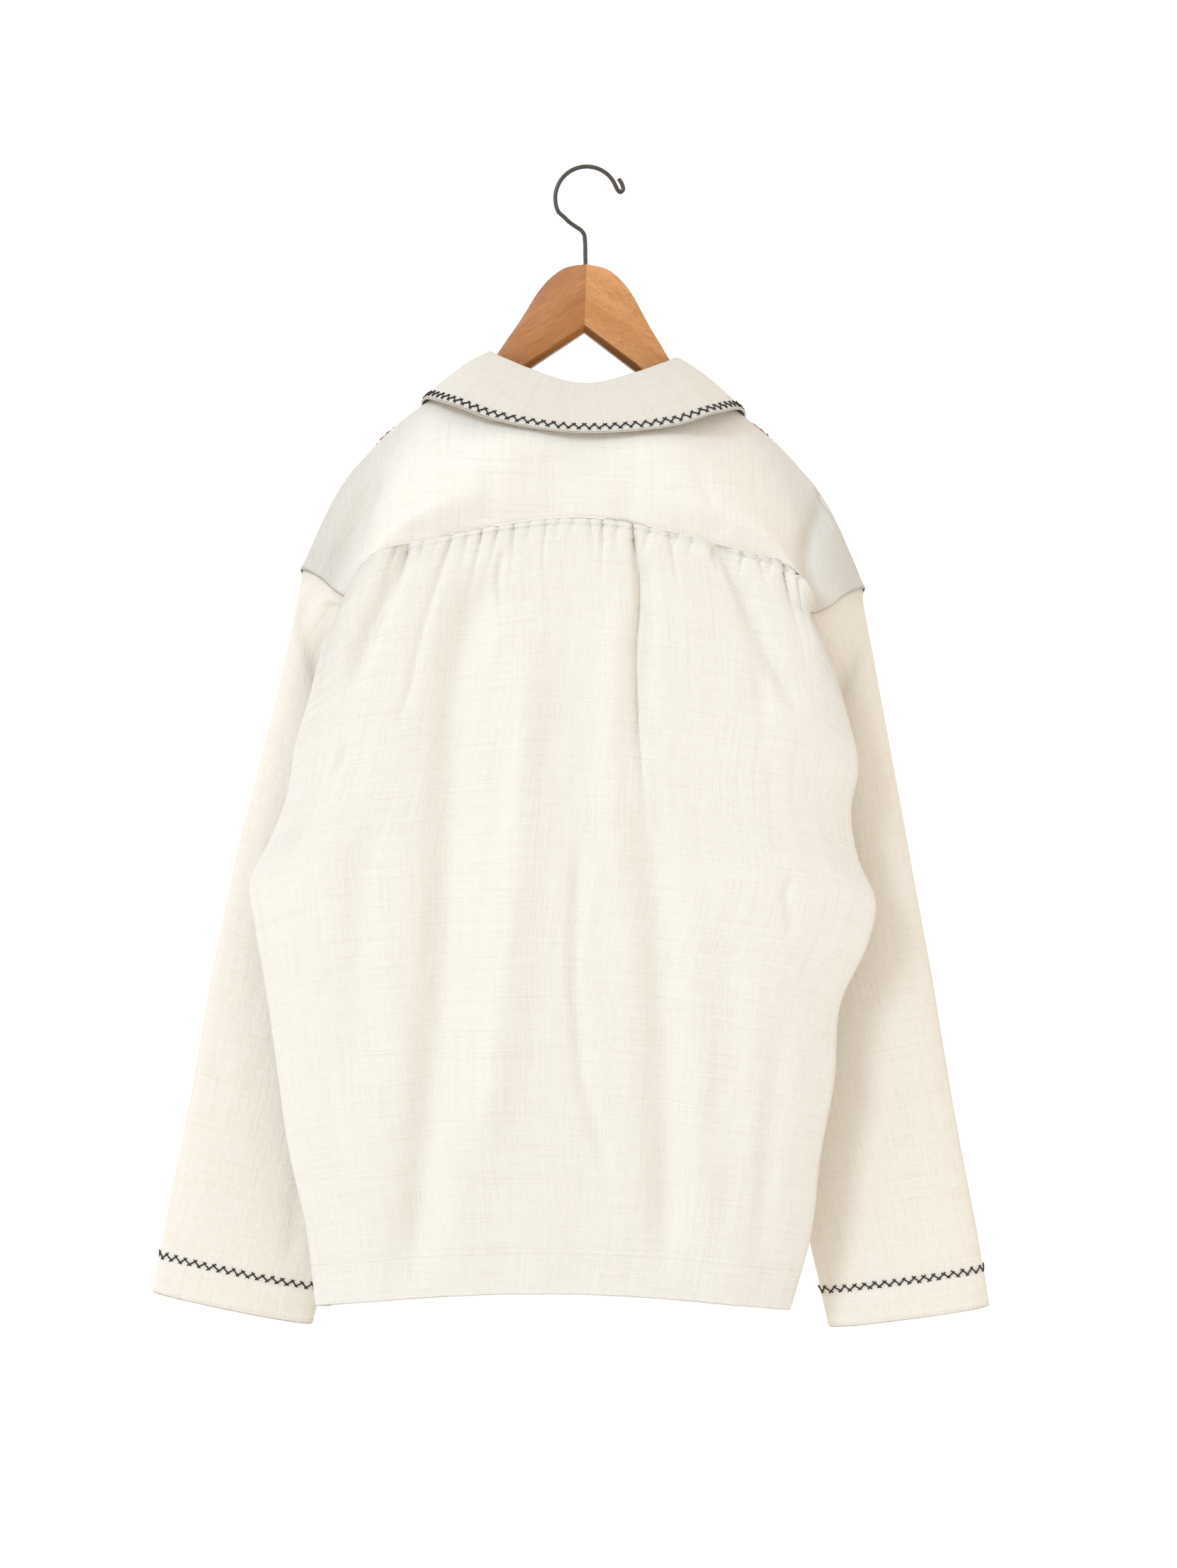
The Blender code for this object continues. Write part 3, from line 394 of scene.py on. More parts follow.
def both_sides(points):
    """A line from the left end, through the middle of the back, to the right end."""
    half = np.asarray(points, float)
    return np.vstack([mirrored(half[:0:-1]), half])


def both_shares(shares):
    half = np.asarray(shares, float)
    return np.concatenate([-half[:0:-1], half])


def normals(grid, closed=False):
    """Unit normals of a grid of points, across its rows and columns."""
    along = np.gradient(grid, axis=0)
    if closed:
        wrapped = np.concatenate([grid[:, -1:], grid, grid[:, :1]], axis=1)
        across = np.gradient(wrapped, axis=1)[:, 1:-1]
    else:
        across = np.gradient(grid, axis=1)
    return unit(np.cross(along, across))


def outward_sign(grid, way, at=None, closed=False):
    """+1 if the grid's normal at its middle, or at a row and column, points the given way, else -1."""
    found = normals(grid, closed)
    row, column = at or (found.shape[0] // 2, found.shape[1] // 2)
    return 1.0 if float(np.dot(found[row, column], way)) > 0 else -1.0


def spaced(length, coarse, zones):
    """Places from 0 to length at a coarse step, and at finer steps in zones (from, to, step)."""
    places, at = [], 0.0
    while at < length - 1e-6:
        places.append(at)
        steps = [step for start, end, step in zones if start <= at < end]
        ahead = [start - at for start, end, step in zones if start > at + 1e-6]
        at += min(steps) if steps else min([*ahead, coarse])
    return np.array([*places, length])


# %% [markdown]
# ## How the shirt hangs
#
# The right shoulder hangs a little lower than the left, so the whole shirt leans about the hook,
# and the body drifts a few millimetres sideways on its way down. Every piece of cloth passes
# through `hung`, and from there on the numbers are real places.

# %% Lean and sway
LEAN = math.radians(1.9)
LEAN_HEIGHT = -100.0
SWAY = ((-150, 0.0), (-315, 5.2), (-560, -2.5), (-880, 0.5))


def leaned(points):
    """Points turned by the lean about the hook's foot."""
    x, z = points[..., 0], points[..., 2] - LEAN_HEIGHT
    out = points.copy()
    out[..., 0] = x * math.cos(LEAN) + z * math.sin(LEAN)
    out[..., 2] = LEAN_HEIGHT - x * math.sin(LEAN) + z * math.cos(LEAN)
    return out


def hung(grid):
    """The grid as it hangs: swayed, then leaned. Still in millimetres."""
    heights, drift = np.array(SWAY, float).T
    moved = np.array(grid, float)
    down = np.clip(-moved[..., 2].ravel(), -heights[0], -heights[-1])
    moved[..., 0] += through(-heights, drift, down).reshape(moved.shape[:-1])
    return leaned(moved)


# %% [markdown]
# ## Unevenness
#
# Real cloth is never even. `unevenness` is value noise: random heights on a coarse grid of cells,
# blended smoothly between them. The seeds are fixed, so it comes out the same every time. It is
# read on the cloth's own flat coordinates, with long cells down the cloth and short ones across,
# which gives the slack vertical ripples of hanging cotton.

# %% Unevenness
def unevenness(across, down, cell_across, cell_down, seed):
    """Smooth noise of about -1 to 1 on a grid, in cells of the given sizes in millimetres."""
    u, v = across / cell_across, down / cell_down
    u, v = u - u.min(), v - v.min()
    heights = np.random.default_rng(seed).uniform(-1, 1, (int(v.max()) + 3, int(u.max()) + 3))
    i, j = v.astype(int), u.astype(int)
    s, t = eased(v - i), eased(u - j)
    upper = heights[i, j] * (1 - t) + heights[i, j + 1] * t
    lower = heights[i + 1, j] * (1 - t) + heights[i + 1, j + 1] * t
    return upper * (1 - s) + lower * s


def rippled(across, down, seed, strength=1.0):
    """Ripples of three sizes, in millimetres of height."""
    return strength * (
        1.0 * unevenness(across, down, 42, 150, seed)
        + 0.45 * unevenness(across, down, 15, 48, seed + 1)
        + 0.16 * unevenness(across, down, 5.5, 13, seed + 2)
    )


def line_pull(grid, line, width, depth, fade_in=10.0, fade_out=30.0, sharp=2.0):
    """A soft trough along a line seen from behind. line holds (x, z) points, depth is in
    millimetres and negative for a ridge, and sharp below 2 makes the bottom of it a crease."""
    x, z = grid[..., 0], grid[..., 2]
    line = np.asarray(line, float)
    lengths = chord_lengths(line)
    nearest = np.full(x.shape, 1e9)
    along = np.zeros(x.shape)
    for start, end, before in zip(line[:-1], line[1:], lengths):
        way = end - start
        share = ((x - start[0]) * way[0] + (z - start[1]) * way[1]) / (way @ way)
        share = np.clip(share, 0, 1)
        away = np.hypot(x - start[0] - share * way[0], z - start[1] - share * way[1])
        closer = away < nearest
        nearest = np.where(closer, away, nearest)
        along = np.where(closer, before + share * np.hypot(*way), along)
    fade = eased((lengths[-1] - along) / fade_out)
    if fade_in > 0:
        fade = fade * eased(along / fade_in)
    return depth * np.exp(-((nearest / width) ** sharp)) * fade


# %% [markdown]
# ## A shell of cloth
#
# Each pattern piece is a grid of points for its outer side. `cloth_shell` adds the inner side
# under it, less than a millimetre away, and closes the rim with a rounded strip, because a bare
# knife edge would catch the light wrongly. The UV map stores flat cloth coordinates in metres.

# %% Shell maker
CLOTH = 0.9
RIM_ROUND = 0.4  # how far the rim's middle stands out, as a share of the thickness
cloth_grids = {}


def cloth_shell(name, outer, outward, thickness, flat, material, closed=False):
    """A closed thin shell from the grid of its outer side, in real places in millimetres.

    flat is the pair of grids (across, down) in millimetres. A closed grid's flat grids have one
    column more than its points, so that the yarns meet at the seam.
    """
    rows, columns = outer.shape[:2]
    depth = np.broadcast_to(np.reshape(thickness, (-1, 1, 1)), (rows, 1, 1))
    way = normals(outer, closed) * outward
    inner = outer - way * depth
    cloth_grids[name] = (outer, way, closed)
    half = rows * columns
    flat_columns = flat[0].shape[1]
    cells = columns if closed else columns - 1
    i, j = np.meshgrid(np.arange(rows - 1), np.arange(cells), indexing="ij")

    def corners(width, wrap):
        return np.stack([
            i * width + j % wrap, i * width + (j + 1) % wrap,
            (i + 1) * width + (j + 1) % wrap, (i + 1) * width + j % wrap,
        ], axis=-1).reshape(-1, 4)

    outside = corners(columns, columns)
    outside_flat = corners(flat_columns, flat_columns if closed else columns)
    faces = [outside, (outside + half)[:, ::-1]]
    faces_flat = [outside_flat, outside_flat[:, ::-1]]

    # Each border is a loop of points that ends where it starts. A closed tube has two of them.
    if closed:
        around = np.arange(columns + 1)
        borders = [(np.full(columns + 1, row), around % columns, around) for row in (0, rows - 1)]
    else:
        across, down = np.arange(columns), np.arange(rows)
        border_rows = np.concatenate([
            0 * across[1:], down[:-1], 0 * across[1:] + rows - 1, down[:0:-1], [0]
        ])
        border_columns = np.concatenate([
            across[:-1], 0 * down[:-1] + columns - 1, across[:0:-1], 0 * down[1:], [0]
        ])
        borders = [(border_rows, border_columns, border_columns)]
    middles, base = [], 2 * half
    here, there = slice(None, -1), slice(1, None)
    for border_rows, border_columns, texture_columns in borders:
        within_columns = border_columns if closed else np.clip(border_columns, 1, columns - 2)
        border, below = outer[border_rows, border_columns], inner[border_rows, border_columns]
        within = outer[np.clip(border_rows, 1, rows - 2), within_columns]
        gap = np.linalg.norm(border - below, axis=1, keepdims=True)
        middles.append(((border + below) / 2 + unit(border - within) * gap * RIM_ROUND)[:-1])
        count = len(middles[-1])
        first = border_rows * columns + border_columns
        second = base + np.arange(count + 1) % count
        texture = border_rows * flat_columns + texture_columns
        turn = 1 if closed and border_rows[0] else -1
        for near, far in ((first, second), (second, first + half)):
            strip = np.stack([near[here], far[here], far[there], near[there]], axis=1)
            strip_flat = np.stack([texture[here], texture[here], texture[there], texture[there]], axis=1)
            faces.append(strip[:, ::turn])
            faces_flat.append(strip_flat[:, ::turn])
        base += count
    points = np.concatenate([outer.reshape(-1, 3), inner.reshape(-1, 3), *middles]) * MM
    faces, faces_flat = np.concatenate(faces), np.concatenate(faces_flat)
    a, b, c, d = (points[faces[:, k]] for k in range(4))
    volume = np.einsum("ij,ij->i", a, np.cross(b, c)).sum() + np.einsum("ij,ij->i", a, np.cross(c, d)).sum()
    if volume < 0:
        faces, faces_flat = faces[:, ::-1], faces_flat[:, ::-1]
    mesh = bpy.data.meshes.new(name)
    mesh.from_pydata(points.tolist(), [], faces.tolist())
    flat_points = np.stack([flat[0].ravel(), flat[1].ravel()], axis=1) * MM
    layer = mesh.uv_layers.new(name="cloth")
    layer.data.foreach_set("uv", flat_points[faces_flat.ravel()].astype(np.float32).ravel())
    mesh.shade_smooth()
    mesh.materials.append(material)
    obj = link_mesh(name, mesh)
    print(f"{name}: {len(faces) * 2} triangles, cloth {sum(p.area for p in mesh.polygons) / 2:.4f} m2")
    return obj


# %% [markdown]
# ## The yoke
#
# The yoke is the horseshoe of cloth over the shoulders. On the real shirt it is cut on its own
# and topstitched over the gathers, so its lower edge stands slightly proud. Rings of points run
# from the neck to that edge, and the surface is a smooth curve through the rings. Its yarns run
# straight up and down the back, so the flat coordinates follow the way the cloth turns over the
# shoulder rather than the rings.

# %% Yoke pattern
STATION_SHARE = (0.0, 0.36, 0.46, 0.74, 1.0)
DIP_SHARE, RIDGE_SHARE = STATION_SHARE[2], STATION_SHARE[3]
YOKE_RINGS = (
    ((0, -36, -188), (46, -28, -176), (64, -13, -163), (77, 6, -156.5), (69, 36, -166)),
    ((0, -50, -214), (80, -42, -213), (105, -16, -199), (118, 16, -180.5), (108, 49, -207)),
    ((0, -54, -243), (122, -47, -262), (149, -20, -264), (168, 23, -222), (157, 51, -256)),
    ((0, -55.5, -260), (145, -48, -287), (165, -23, -301), (192.5, 20, -254), (183, 52, -294)),
)
RING_LEVELS = (0.0, 0.3, 0.65, 0.83, 1.0)
YOKE_EDGE = (
    (0.00, 0, -55, -275.5), (0.18, 78, -54, -286), (0.28, 122, -51, -296.5), (0.33, 147, -48, -302),
    (0.36, 161, -44, -309), (0.46, 176, -24, -337), (0.52, 189, -19, -332), (0.59, 200.5, -9, -322),
    (0.67, 211, 2, -315), (0.74, 218.5, 15, -312), (0.87, 215.5, 33, -320), (1.00, 203, 47, -337),
)


def yoke_edge(share):
    """Points of the yoke's outer edge. share is 0 at the middle of the back and 1 at the front."""
    knots = both_shares([row[0] for row in YOKE_EDGE])
    return through(knots, both_sides([row[1:] for row in YOKE_EDGE]), share)


def yoke_surface(shares, levels):
    knots = both_shares(STATION_SHARE)
    rings = [through(knots, both_sides(ring), shares) for ring in YOKE_RINGS]
    rings.append(yoke_edge(shares))
    return through(RING_LEVELS, np.array(rings), levels)


def yoke_flat(grid, shares):
    """Flat coordinates of the yoke: x across, and down the cloth the way it turns over the
    shoulder, from down the back, past level on the ridge, to up the front."""
    turn = math.pi * 0.92 * eased((np.abs(shares) - 0.28) / 0.72)
    way = np.stack([np.sin(turn), np.cos(turn)], axis=1)
    middle = len(shares) // 2
    neck = np.zeros(len(shares))
    for step in (1, -1):
        for j in range(middle + step, len(shares) if step > 0 else -1, step):
            move = grid[0, j, 1:] - grid[0, j - step, 1:]
            neck[j] = neck[j - step] + move @ (way[j] + way[j - step]) / 2
    moves = np.diff(grid[:, :, 1:], axis=0)
    down = np.concatenate([neck[None], neck + np.cumsum(np.einsum("ijk,jk->ij", moves, way), axis=0)])
    return grid[:, :, 0], -down


# %% [markdown]
# The folds on the yoke are drawn as lines, seen from behind: a deep valley beside each
# armhole, where the cloth drops off the hanger, with a soft ridge next to it, and a few soft
# valleys down the middle. They fade out where the cloth turns to the front, so that the yoke's
# front edge still meets the fronts. How far the folds move the border is noted for the sleeves.

# %% Yoke
YOKE_FOLDS = (
    # x and z of the line's points, its width, depth, fade in and fade out
    (((-73, -218), (-74, -282)), 9, 1.4, 30, 5),
    (((-122, -225), (-122, -292)), 9, 1.0, 30, 5),
    (((-20, -222), (-22, -276)), 12, 0.9, 30, 5),
    (((42, -228), (29, -285)), 11, 1.6, 30, 5),
    (((82, -222), (93, -261), (105, -290)), 6, 1.6, 25, 4),
    (((-158, -232), (-172, -261), (-181, -285), (-190, -302), (-200, -326)), 8, 6.5, 22, 3),
    (((-160, -228), (-192, -262), (-212, -300)), 10, -1.2, 20, 20),
    (((186, -240), (184, -265), (173, -293), (170, -330)), 7, 6.5, 25, 3),
    (((150, -232), (158, -262), (158, -300)), 8, -1.0, 20, 10),
)
YOKE_COLUMNS = 321
YOKE_END = 1.014  # the level of the yoke's folded edge, a little past its seam
LEVEL_LONG = 92.0  # millimetres of cloth in one level
YOKE_STITCHING = 2.4  # how far the topstitching lies from the edge
shares = np.linspace(-1, 1, YOKE_COLUMNS)
levels = np.concatenate([np.linspace(0, 0.9, 38), np.linspace(0.9, YOKE_END, 15)[1:]])
base = yoke_surface(shares, levels)
flat = yoke_flat(base, shares)
grid = hung(base)
sign = outward_sign(grid, (0, -1, 0))
way = normals(grid) * sign
on_the_back = eased((0.1 - way[..., 1]) / 0.5)  # fades the folds out before the hidden front half
pull = sum(line_pull(grid, *row) for row in YOKE_FOLDS) * on_the_back
to_edge = np.abs(levels[:, None] - YOKE_END) * LEVEL_LONG
lift = 0.02 * np.exp(-((to_edge / 5.0) ** 4)) - 0.2 * np.exp(-(((to_edge - YOKE_STITCHING) / 0.9) ** 2))
ripple = rippled(*flat, seed=11, strength=0.55) * eased(levels[:, None] / 0.2)
still = grid.copy()
grid += way * (lift + ripple - pull)[..., None]
at_seam = np.abs(levels - 1).argmin()
seam_moves = [(still[at_seam], (grid - still)[at_seam])]
yoke = cloth_shell("shirt_yoke", grid, sign, CLOTH, flat, body_cotton)

# %% [markdown]
# ## The back
#
# The back is a wide panel gathered into the yoke by 28 small tucks. Level sections are drawn
# first, from the side seam round to the visible back and round again, and slid onto the curved
# yoke seam above and the curved hem below.

# %% Back pattern
BODY_COLUMNS = (
    "height", "edge_x", "edge_shift", "edge_y", "back_y", "seam_x", "seam_y", "fore_x", "fore_y", "front_y"
)
BODY = (
    (-337, 175.0, 0.0, -25, -55, 176, -24, 203, 47, 47),
    (-355, 181.5, -4.0, -29.5, -56, 173.5, -17, 195.5, 46, 44),
    (-375, 192.5, -2.0, -33, -57, 171, -10, 188, 45, 41),
    (-420, 206.0, 2.5, -33, -59, 163, -2, 171, 36, 32),
    (-460, 216.0, 4.0, -31, -60, 158, 4, 160, 23, 23),
    (-489, 215.5, 1.5, -29, -60, 156, 9, 156, 10, 18),
    (-530, 226.0, 0.0, -28, -60, 160, 4, 160, 5, 15),
    (-560, 240.0, 0.5, -27, -59, 167, 0, 167, 1, 13),
    (-590, 236.0, 1.0, -26, -58, 172, -2, 172, -1, 12),
    (-640, 220.5, -4.0, -24, -57, 180, -5, 180, -4, 12),
    (-700, 213.5, -0.5, -22, -55, 184, -8, 184, -7, 13),
    (-760, 203.5, -0.5, -21, -53, 183, -10, 183, -9, 14),
    (-820, 193.0, 4.0, -19, -50, 178, -12, 178, -11, 15),
    (-880, 181.0, 0.5, -17, -47, 170, -14, 170, -13, 16),
)
BODY_TOP, HEM_MIDDLE, HEM_SIDE, HEM_TILT = -337.0, -864.0, -880.0, 4.5
HEM_BAND, CUFF_BAND = 31.0, 30.0
WING_INSET = 0.012
ROW_ENDS = 36.0  # the rows lie closer over this length at a hem
body_length = BODY_TOP - HEM_SIDE


def body_at(heights, name):
    """One column of the body's table, read at the given heights."""
    table = np.array(BODY)
    return through(-table[:, 0], table[:, BODY_COLUMNS.index(name)], -np.asarray(heights, float))


def hem_offset(across, drop):
    """How far the cloth hangs below its level section."""
    curve = (HEM_MIDDLE - HEM_SIDE) * (1 - across**2) + HEM_TILT * across
    return curve * eased((drop - 0.3) / 0.7)


def body_values(height, names):
    """Several columns of the body's table at one height."""
    return [float(body_at([height], name)[0]) for name in names]


def back_section(height, share, wing):
    """One level section of the back, from the left side seam to the right one."""
    names = ("edge_x", "edge_shift", "edge_y", "back_y", "seam_x", "seam_y")
    edge_x, shift, edge_y, back_y, seam_x, seam_y = body_values(height, names)
    deep = back_y - edge_y

    def half(side):
        edge = edge_x + side * shift
        return np.array([
            (0, back_y, height),
            (0.42 * edge, edge_y + 0.96 * deep, height),
            (0.80 * edge, edge_y + 0.70 * deep, height),
            (edge, edge_y, height),
            (0.18 * edge + 0.82 * seam_x, 0.60 * edge_y + 0.40 * seam_y, height),
            (seam_x, seam_y, height),
        ])

    control = np.vstack([mirrored(half(-1)[:0:-1]), half(1)])
    dense = through(chord_lengths(control), control, np.linspace(0, chord_lengths(control)[-1], 481))
    length = chord_lengths(dense)
    first, last = int(np.argmin(dense[:, 0])), int(np.argmax(dense[:, 0]))
    visible = 0.5 * (length[first] + length[last]) + 0.5 * share * (length[last] - length[first])
    left = length[first] * (1 - wing[::-1])
    right = length[last] + (length[-1] - length[last]) * wing
    places = np.concatenate([left, visible, right])
    return np.stack([np.interp(places, length, dense[:, k]) for k in range(3)], axis=1)


def seam_shares(places):
    """Shares of the yoke's edge for places along its gathered seam, -1 to 1."""
    dense = np.linspace(-DIP_SHARE, DIP_SHARE, 401)
    length = chord_lengths(yoke_edge(dense))
    return np.interp((np.asarray(places) + 1) / 2 * length[-1], length, dense)


def back_surface(share, wing, below):
    """The back below the yoke, as a grid, and each column's place across it."""
    right_end = 1 - WING_INSET * (1 - wing)
    seam_places = np.concatenate([-right_end[::-1], share * (1 - WING_INSET), right_end])
    drops = below / body_length
    found = np.array([back_section(BODY_TOP - d, share, wing) for d in below])
    off_seam = yoke_edge(seam_shares(seam_places)) - back_section(BODY_TOP, share, wing)
    across = np.concatenate([-np.ones(len(wing)), share, np.ones(len(wing))])
    for i, drop in enumerate(drops):
        found[i, :, 2] += (1 - drop) * off_seam[:, 2] + hem_offset(across, drop)
        found[i, :, :2] += (1 - eased(drop / 0.22)) * off_seam[:, :2]
    return found, across


# %% [markdown]
# Each tuck is a sharp little valley that starts full depth in the seam and opens out below it.
# Between two tucks the cloth puffs up. The table holds where each one is, as it hangs: its x at
# the seam, how far it leans by its end, its depth and its length. Then come the long folds that
# the gathers let down, again drawn as lines.

# %% Tucks and folds
TUCK_COLUMNS = ("x", "lean", "depth", "length")
TUCK_SHARPNESS = 1.3
TUCK_PUFF, PUFF_LENGTH = 0.3, 22.0
FOLD_DEEPER = 2.1
TUCKS = (
    (-145, -4, 3.2, 18), (-135, -9, 3.6, 34), (-123, -2, 2.4, 12), (-112, -1, 1.2, 7), (-101, -7, 3.0, 26),
    (-89, -2, 2.8, 14), (-78, -5, 3.6, 26), (-66, -4, 3.4, 20), (-54, -1, 3.2, 22), (-42, -1, 2.2, 10),
    (-30, -1, 2.2, 22), (-20, -1, 2.0, 9), (-9, -1, 1.8, 8), (3, 2, 2.2, 14), (13, 0, 3.6, 22),
    (24, -1, 2.8, 14), (36, 2, 4.2, 34), (49, -4, 2.6, 14), (63, 5, 2.4, 26), (70, -2, 2.0, 8),
    (81, -2, 2.2, 8), (95, 6, 1.8, 20), (107, 2, 1.6, 8), (119, -1, 3.2, 12), (130, 5, 2.2, 14),
    (141, -1, 2.4, 8), (151, 6, 3.6, 30), (161, 4, 2.6, 26),
)
BACK_FOLDS = (
    # x and z of the line's points, its width, depth, fade in, fade out and sharpness
    (
        ((-73, -309), (-84, -345), (-98, -398), (-101, -464), (-108, -624), (-121, -757), (-134, -870)),
        15, 5.0, 40, 60,
    ),
    (((-43, -341), (-49, -517), (-65, -677), (-83, -795)), 17, -3.2, 80, 90),
    (
        ((37, -292), (41, -317), (41, -339), (38, -373), (38, -390), (40, -442), (48, -528)),
        2.2, 2.9, 0, 110, 1.15,
    ),
    (((44, -300), (46, -340), (45, -400), (50, -470)), 7, 2.6, 25, 90),
    (((46, -470), (58, -624), (61, -731), (64, -860)), 14, 4.2, 80, 70),
    (((24, -330), (20, -450), (24, -600)), 11, -1.8, 40, 120),
    (((-4, -506), (-8, -624), (-2, -704), (24, -795)), 6, 1.8, 50, 60),
    (((-135, -294), (-140, -310), (-150, -335), (-161, -357), (-171, -383), (-178, -415)), 7, 3.6, 8, 40),
    (((-150, -345), (-158, -362), (-163, -378)), 2.2, 1.4, 8, 12, 1.5),
    (((-101, -287), (-117, -341), (-124, -366), (-133, -409), (-146, -437)), 3.0, 1.2, 20, 30, 1.5),
    (((-182, -445), (-187, -469)), 3.0, 1.4, 8, 10),
    (
        (
            (95, -296), (105, -305), (114, -330), (122, -350),
            (132, -367), (142, -388), (154, -407), (168, -431),
        ),
        6, 3.4, 10, 40,
    ),
    (((99, -306), (112, -332), (125, -358), (141, -388)), 5, -1.6, 15, 30),
    (((119, -317), (125, -346), (133, -399), (136, -474)), 7, 1.4, 20, 60),
    (((160, -549), (150, -561), (158, -592)), 3.2, 1.2, 8, 10),
    (((-206, -637), (-153, -586)), 1.8, 0.7, 12, 12, 1.4),
    (((-131, -640), (-35, -592)), 1.8, 0.6, 20, 20, 1.4),
    (((-62, -300), (-66, -324), (-62, -361)), 3.0, 1.3, 6, 25),
    (((151, -312), (152, -323), (158, -338), (168, -352)), 3.2, 1.0, 6, 10, 1.5),
    (((-164, -480), (-172, -600), (-176, -760)), 16, 1.8, 60, 90),
    (((112, -560), (108, -700), (112, -850)), 15, 1.6, 70, 60),
    (((150, -640), (138, -760), (132, -860)), 11, 1.5, 60, 50),
)


def tuck_pull(grid, below):
    """How far the tucks draw the cloth in, less how far it puffs up between them."""
    x = grid[..., 0]
    pull = np.zeros_like(x)
    nearest = np.full_like(x, 1e9)
    for row in TUCKS:
        tuck = dict(zip(TUCK_COLUMNS, row))
        share = np.clip(below / tuck["length"], 0, 4)
        away = np.abs(x - tuck["x"] - tuck["lean"] * share**1.2)
        width = 1.25 + 0.5 * share
        fade = np.exp(-0.9 * share**1.5) * (0.25 + 0.75 * eased(below / 5))
        pull += TUCK_SHARPNESS * tuck["depth"] * np.exp(-((away / width) ** 1.5)) * fade
        nearest = np.minimum(nearest, away)
    between = 1 - np.exp(-((nearest / 3.2) ** 2))
    fade = np.exp(-((below / PUFF_LENGTH) ** 1.5)) * eased((below - 1.5) / 5)
    return pull - TUCK_PUFF * between * fade


def hem_pull(to_edge, band, dent, proud):
    """The dent of a hem's stitches, a band from the edge, less how far the doubled band stands out."""
    return dent * np.exp(-(((to_edge - band) / 1.5) ** 2)) - proud * eased((band - to_edge) / 3)


def hem_thickness(to_edge, band, extra):
    """The cloth's thickness down a piece, greater in the hem's band."""
    return CLOTH + extra * eased((band + 1 - to_edge) / 2)


# %% [markdown]
# The back's grid is hung first and then moved along its normals: out for the ripples and puffs,
# in for the tucks, the folds and the stitched hem. Its wings, which turn in to the side seams,
# stay calm. Its top is tucked under the yoke's edge by half a thickness of cloth.

# %% Back
CLOTH_HALF_WIDE, WING_WIDE = 285.0, 62.0
back_share = np.linspace(-1, 1, 353)
back_wing = np.linspace(0, 1, 13)[1:]
below = spaced(body_length, 6.6, [(0, 36, 1.8), (36, 110, 3.6), (body_length - ROW_ENDS, body_length, 2.2)])
base, across = back_surface(back_share, back_wing, below)
grid = hung(base)
sign = outward_sign(grid, (0, -1, 0))
way = normals(grid) * sign
wing_across = CLOTH_HALF_WIDE + back_wing * WING_WIDE
flat_across = np.concatenate([-wing_across[::-1], back_share * CLOTH_HALF_WIDE, wing_across])
flat = (np.broadcast_to(flat_across, grid.shape[:2]), np.broadcast_to(-below[:, None], grid.shape[:2]))
under_seam = np.broadcast_to(below[:, None], grid.shape[:2])
pull = tuck_pull(grid, under_seam) + FOLD_DEEPER * sum(line_pull(grid, *row) for row in BACK_FOLDS)
to_hem = body_length - under_seam
pull += hem_pull(to_hem, HEM_BAND, 0.55, 0.35)
ripple = rippled(*flat, seed=3, strength=0.75) * eased(under_seam / 40)
ripple += 0.3 * unevenness(*flat, 9, 22, 31) * np.exp(-((to_hem / 40) ** 2))
calm = 1 - 0.85 * eased((np.abs(across) - 0.9) / 0.1)
tucked_under = 0.45 * np.exp(-((under_seam / 2.4) ** 2))
move = way * ((ripple - pull) * calm)[..., None]
for column in (len(back_wing), -1 - len(back_wing)):
    seam_moves.append((grid[:, column], move[:, column]))
grid += move - way * tucked_under[..., None]
thickness = hem_thickness(body_length - below, HEM_BAND, 0.6)
back = cloth_shell("shirt_back", grid, sign, thickness, flat, body_cotton)

# %% [markdown]
# ## The sleeves
#
# A sleeve is a tube of rings, from the armhole down to the cuff. The armhole's ring is built from
# the very lines that the yoke, the back and the front end on, so the pieces meet. The two sleeves
# hang a little differently.

# %% Sleeve pattern
SLEEVE_COLUMNS = ("outer_x", "outer_z", "inner_x", "inner_z", "middle_y", "half_depth")
SLEEVE = (
    (220.0, -337, 163, -494, 26, 22), (226.6, -370, 154, -506, 28, 23), (236.8, -419, 141, -521, 31, 22.5),
    (251.4, -485, 130, -548, 34, 21), (265.0, -551, 131, -592, 37, 20), (277.5, -617, 140, -652, 38, 19),
    (289.0, -683, 154, -714, 38, 18), (300.4, -749, 168, -776, 37, 17), (313.8, -815, 184, -838, 36, 16),
    (324.5, -876, 199, -897, 35, 15),
)
SLEEVE_LENGTH = 560.0
SLEEVE_OUT = {"left": (3.0, -2.8, -5.0, -7.0, -9.0), "right": (3.0, 10.0, 16.0, 18.5, 19.5)}
SLEEVE_DOWN = {"left": (0.0, 2.0, 5.0, 8.5, 12.0), "right": (0.0, 0.0, 0.0, 0.5, 1.0)}
ARMHOLE_TURNS = (0.0, 0.16, 0.5, 0.87, 1.0)


def armhole_ring(turns):
    """Points of the right armhole at the given turns, from the shoulder, down the back, under
    the arm and up the front."""
    heights = np.linspace(BODY_TOP, -489, 40)
    down = np.stack([body_at(heights, "seam_x"), body_at(heights, "seam_y"), heights], axis=1)
    up = np.stack([body_at(heights, "fore_x"), body_at(heights, "fore_y"), heights], axis=1)[::-1]
    parts = (
        yoke_edge(np.linspace(RIDGE_SHARE, DIP_SHARE, 30)), down,
        up, yoke_edge(np.linspace(1, RIDGE_SHARE, 30)),
    )
    points, known = [], []
    for part, first, last in zip(parts, ARMHOLE_TURNS, ARMHOLE_TURNS[1:]):
        length = chord_lengths(part)
        points.append(part)
        known.append(first + (last - first) * length / length[-1])
    points, known = np.concatenate(points), np.concatenate(known)
    return np.stack([np.interp(turns, known, points[:, k]) for k in range(3)], axis=1)


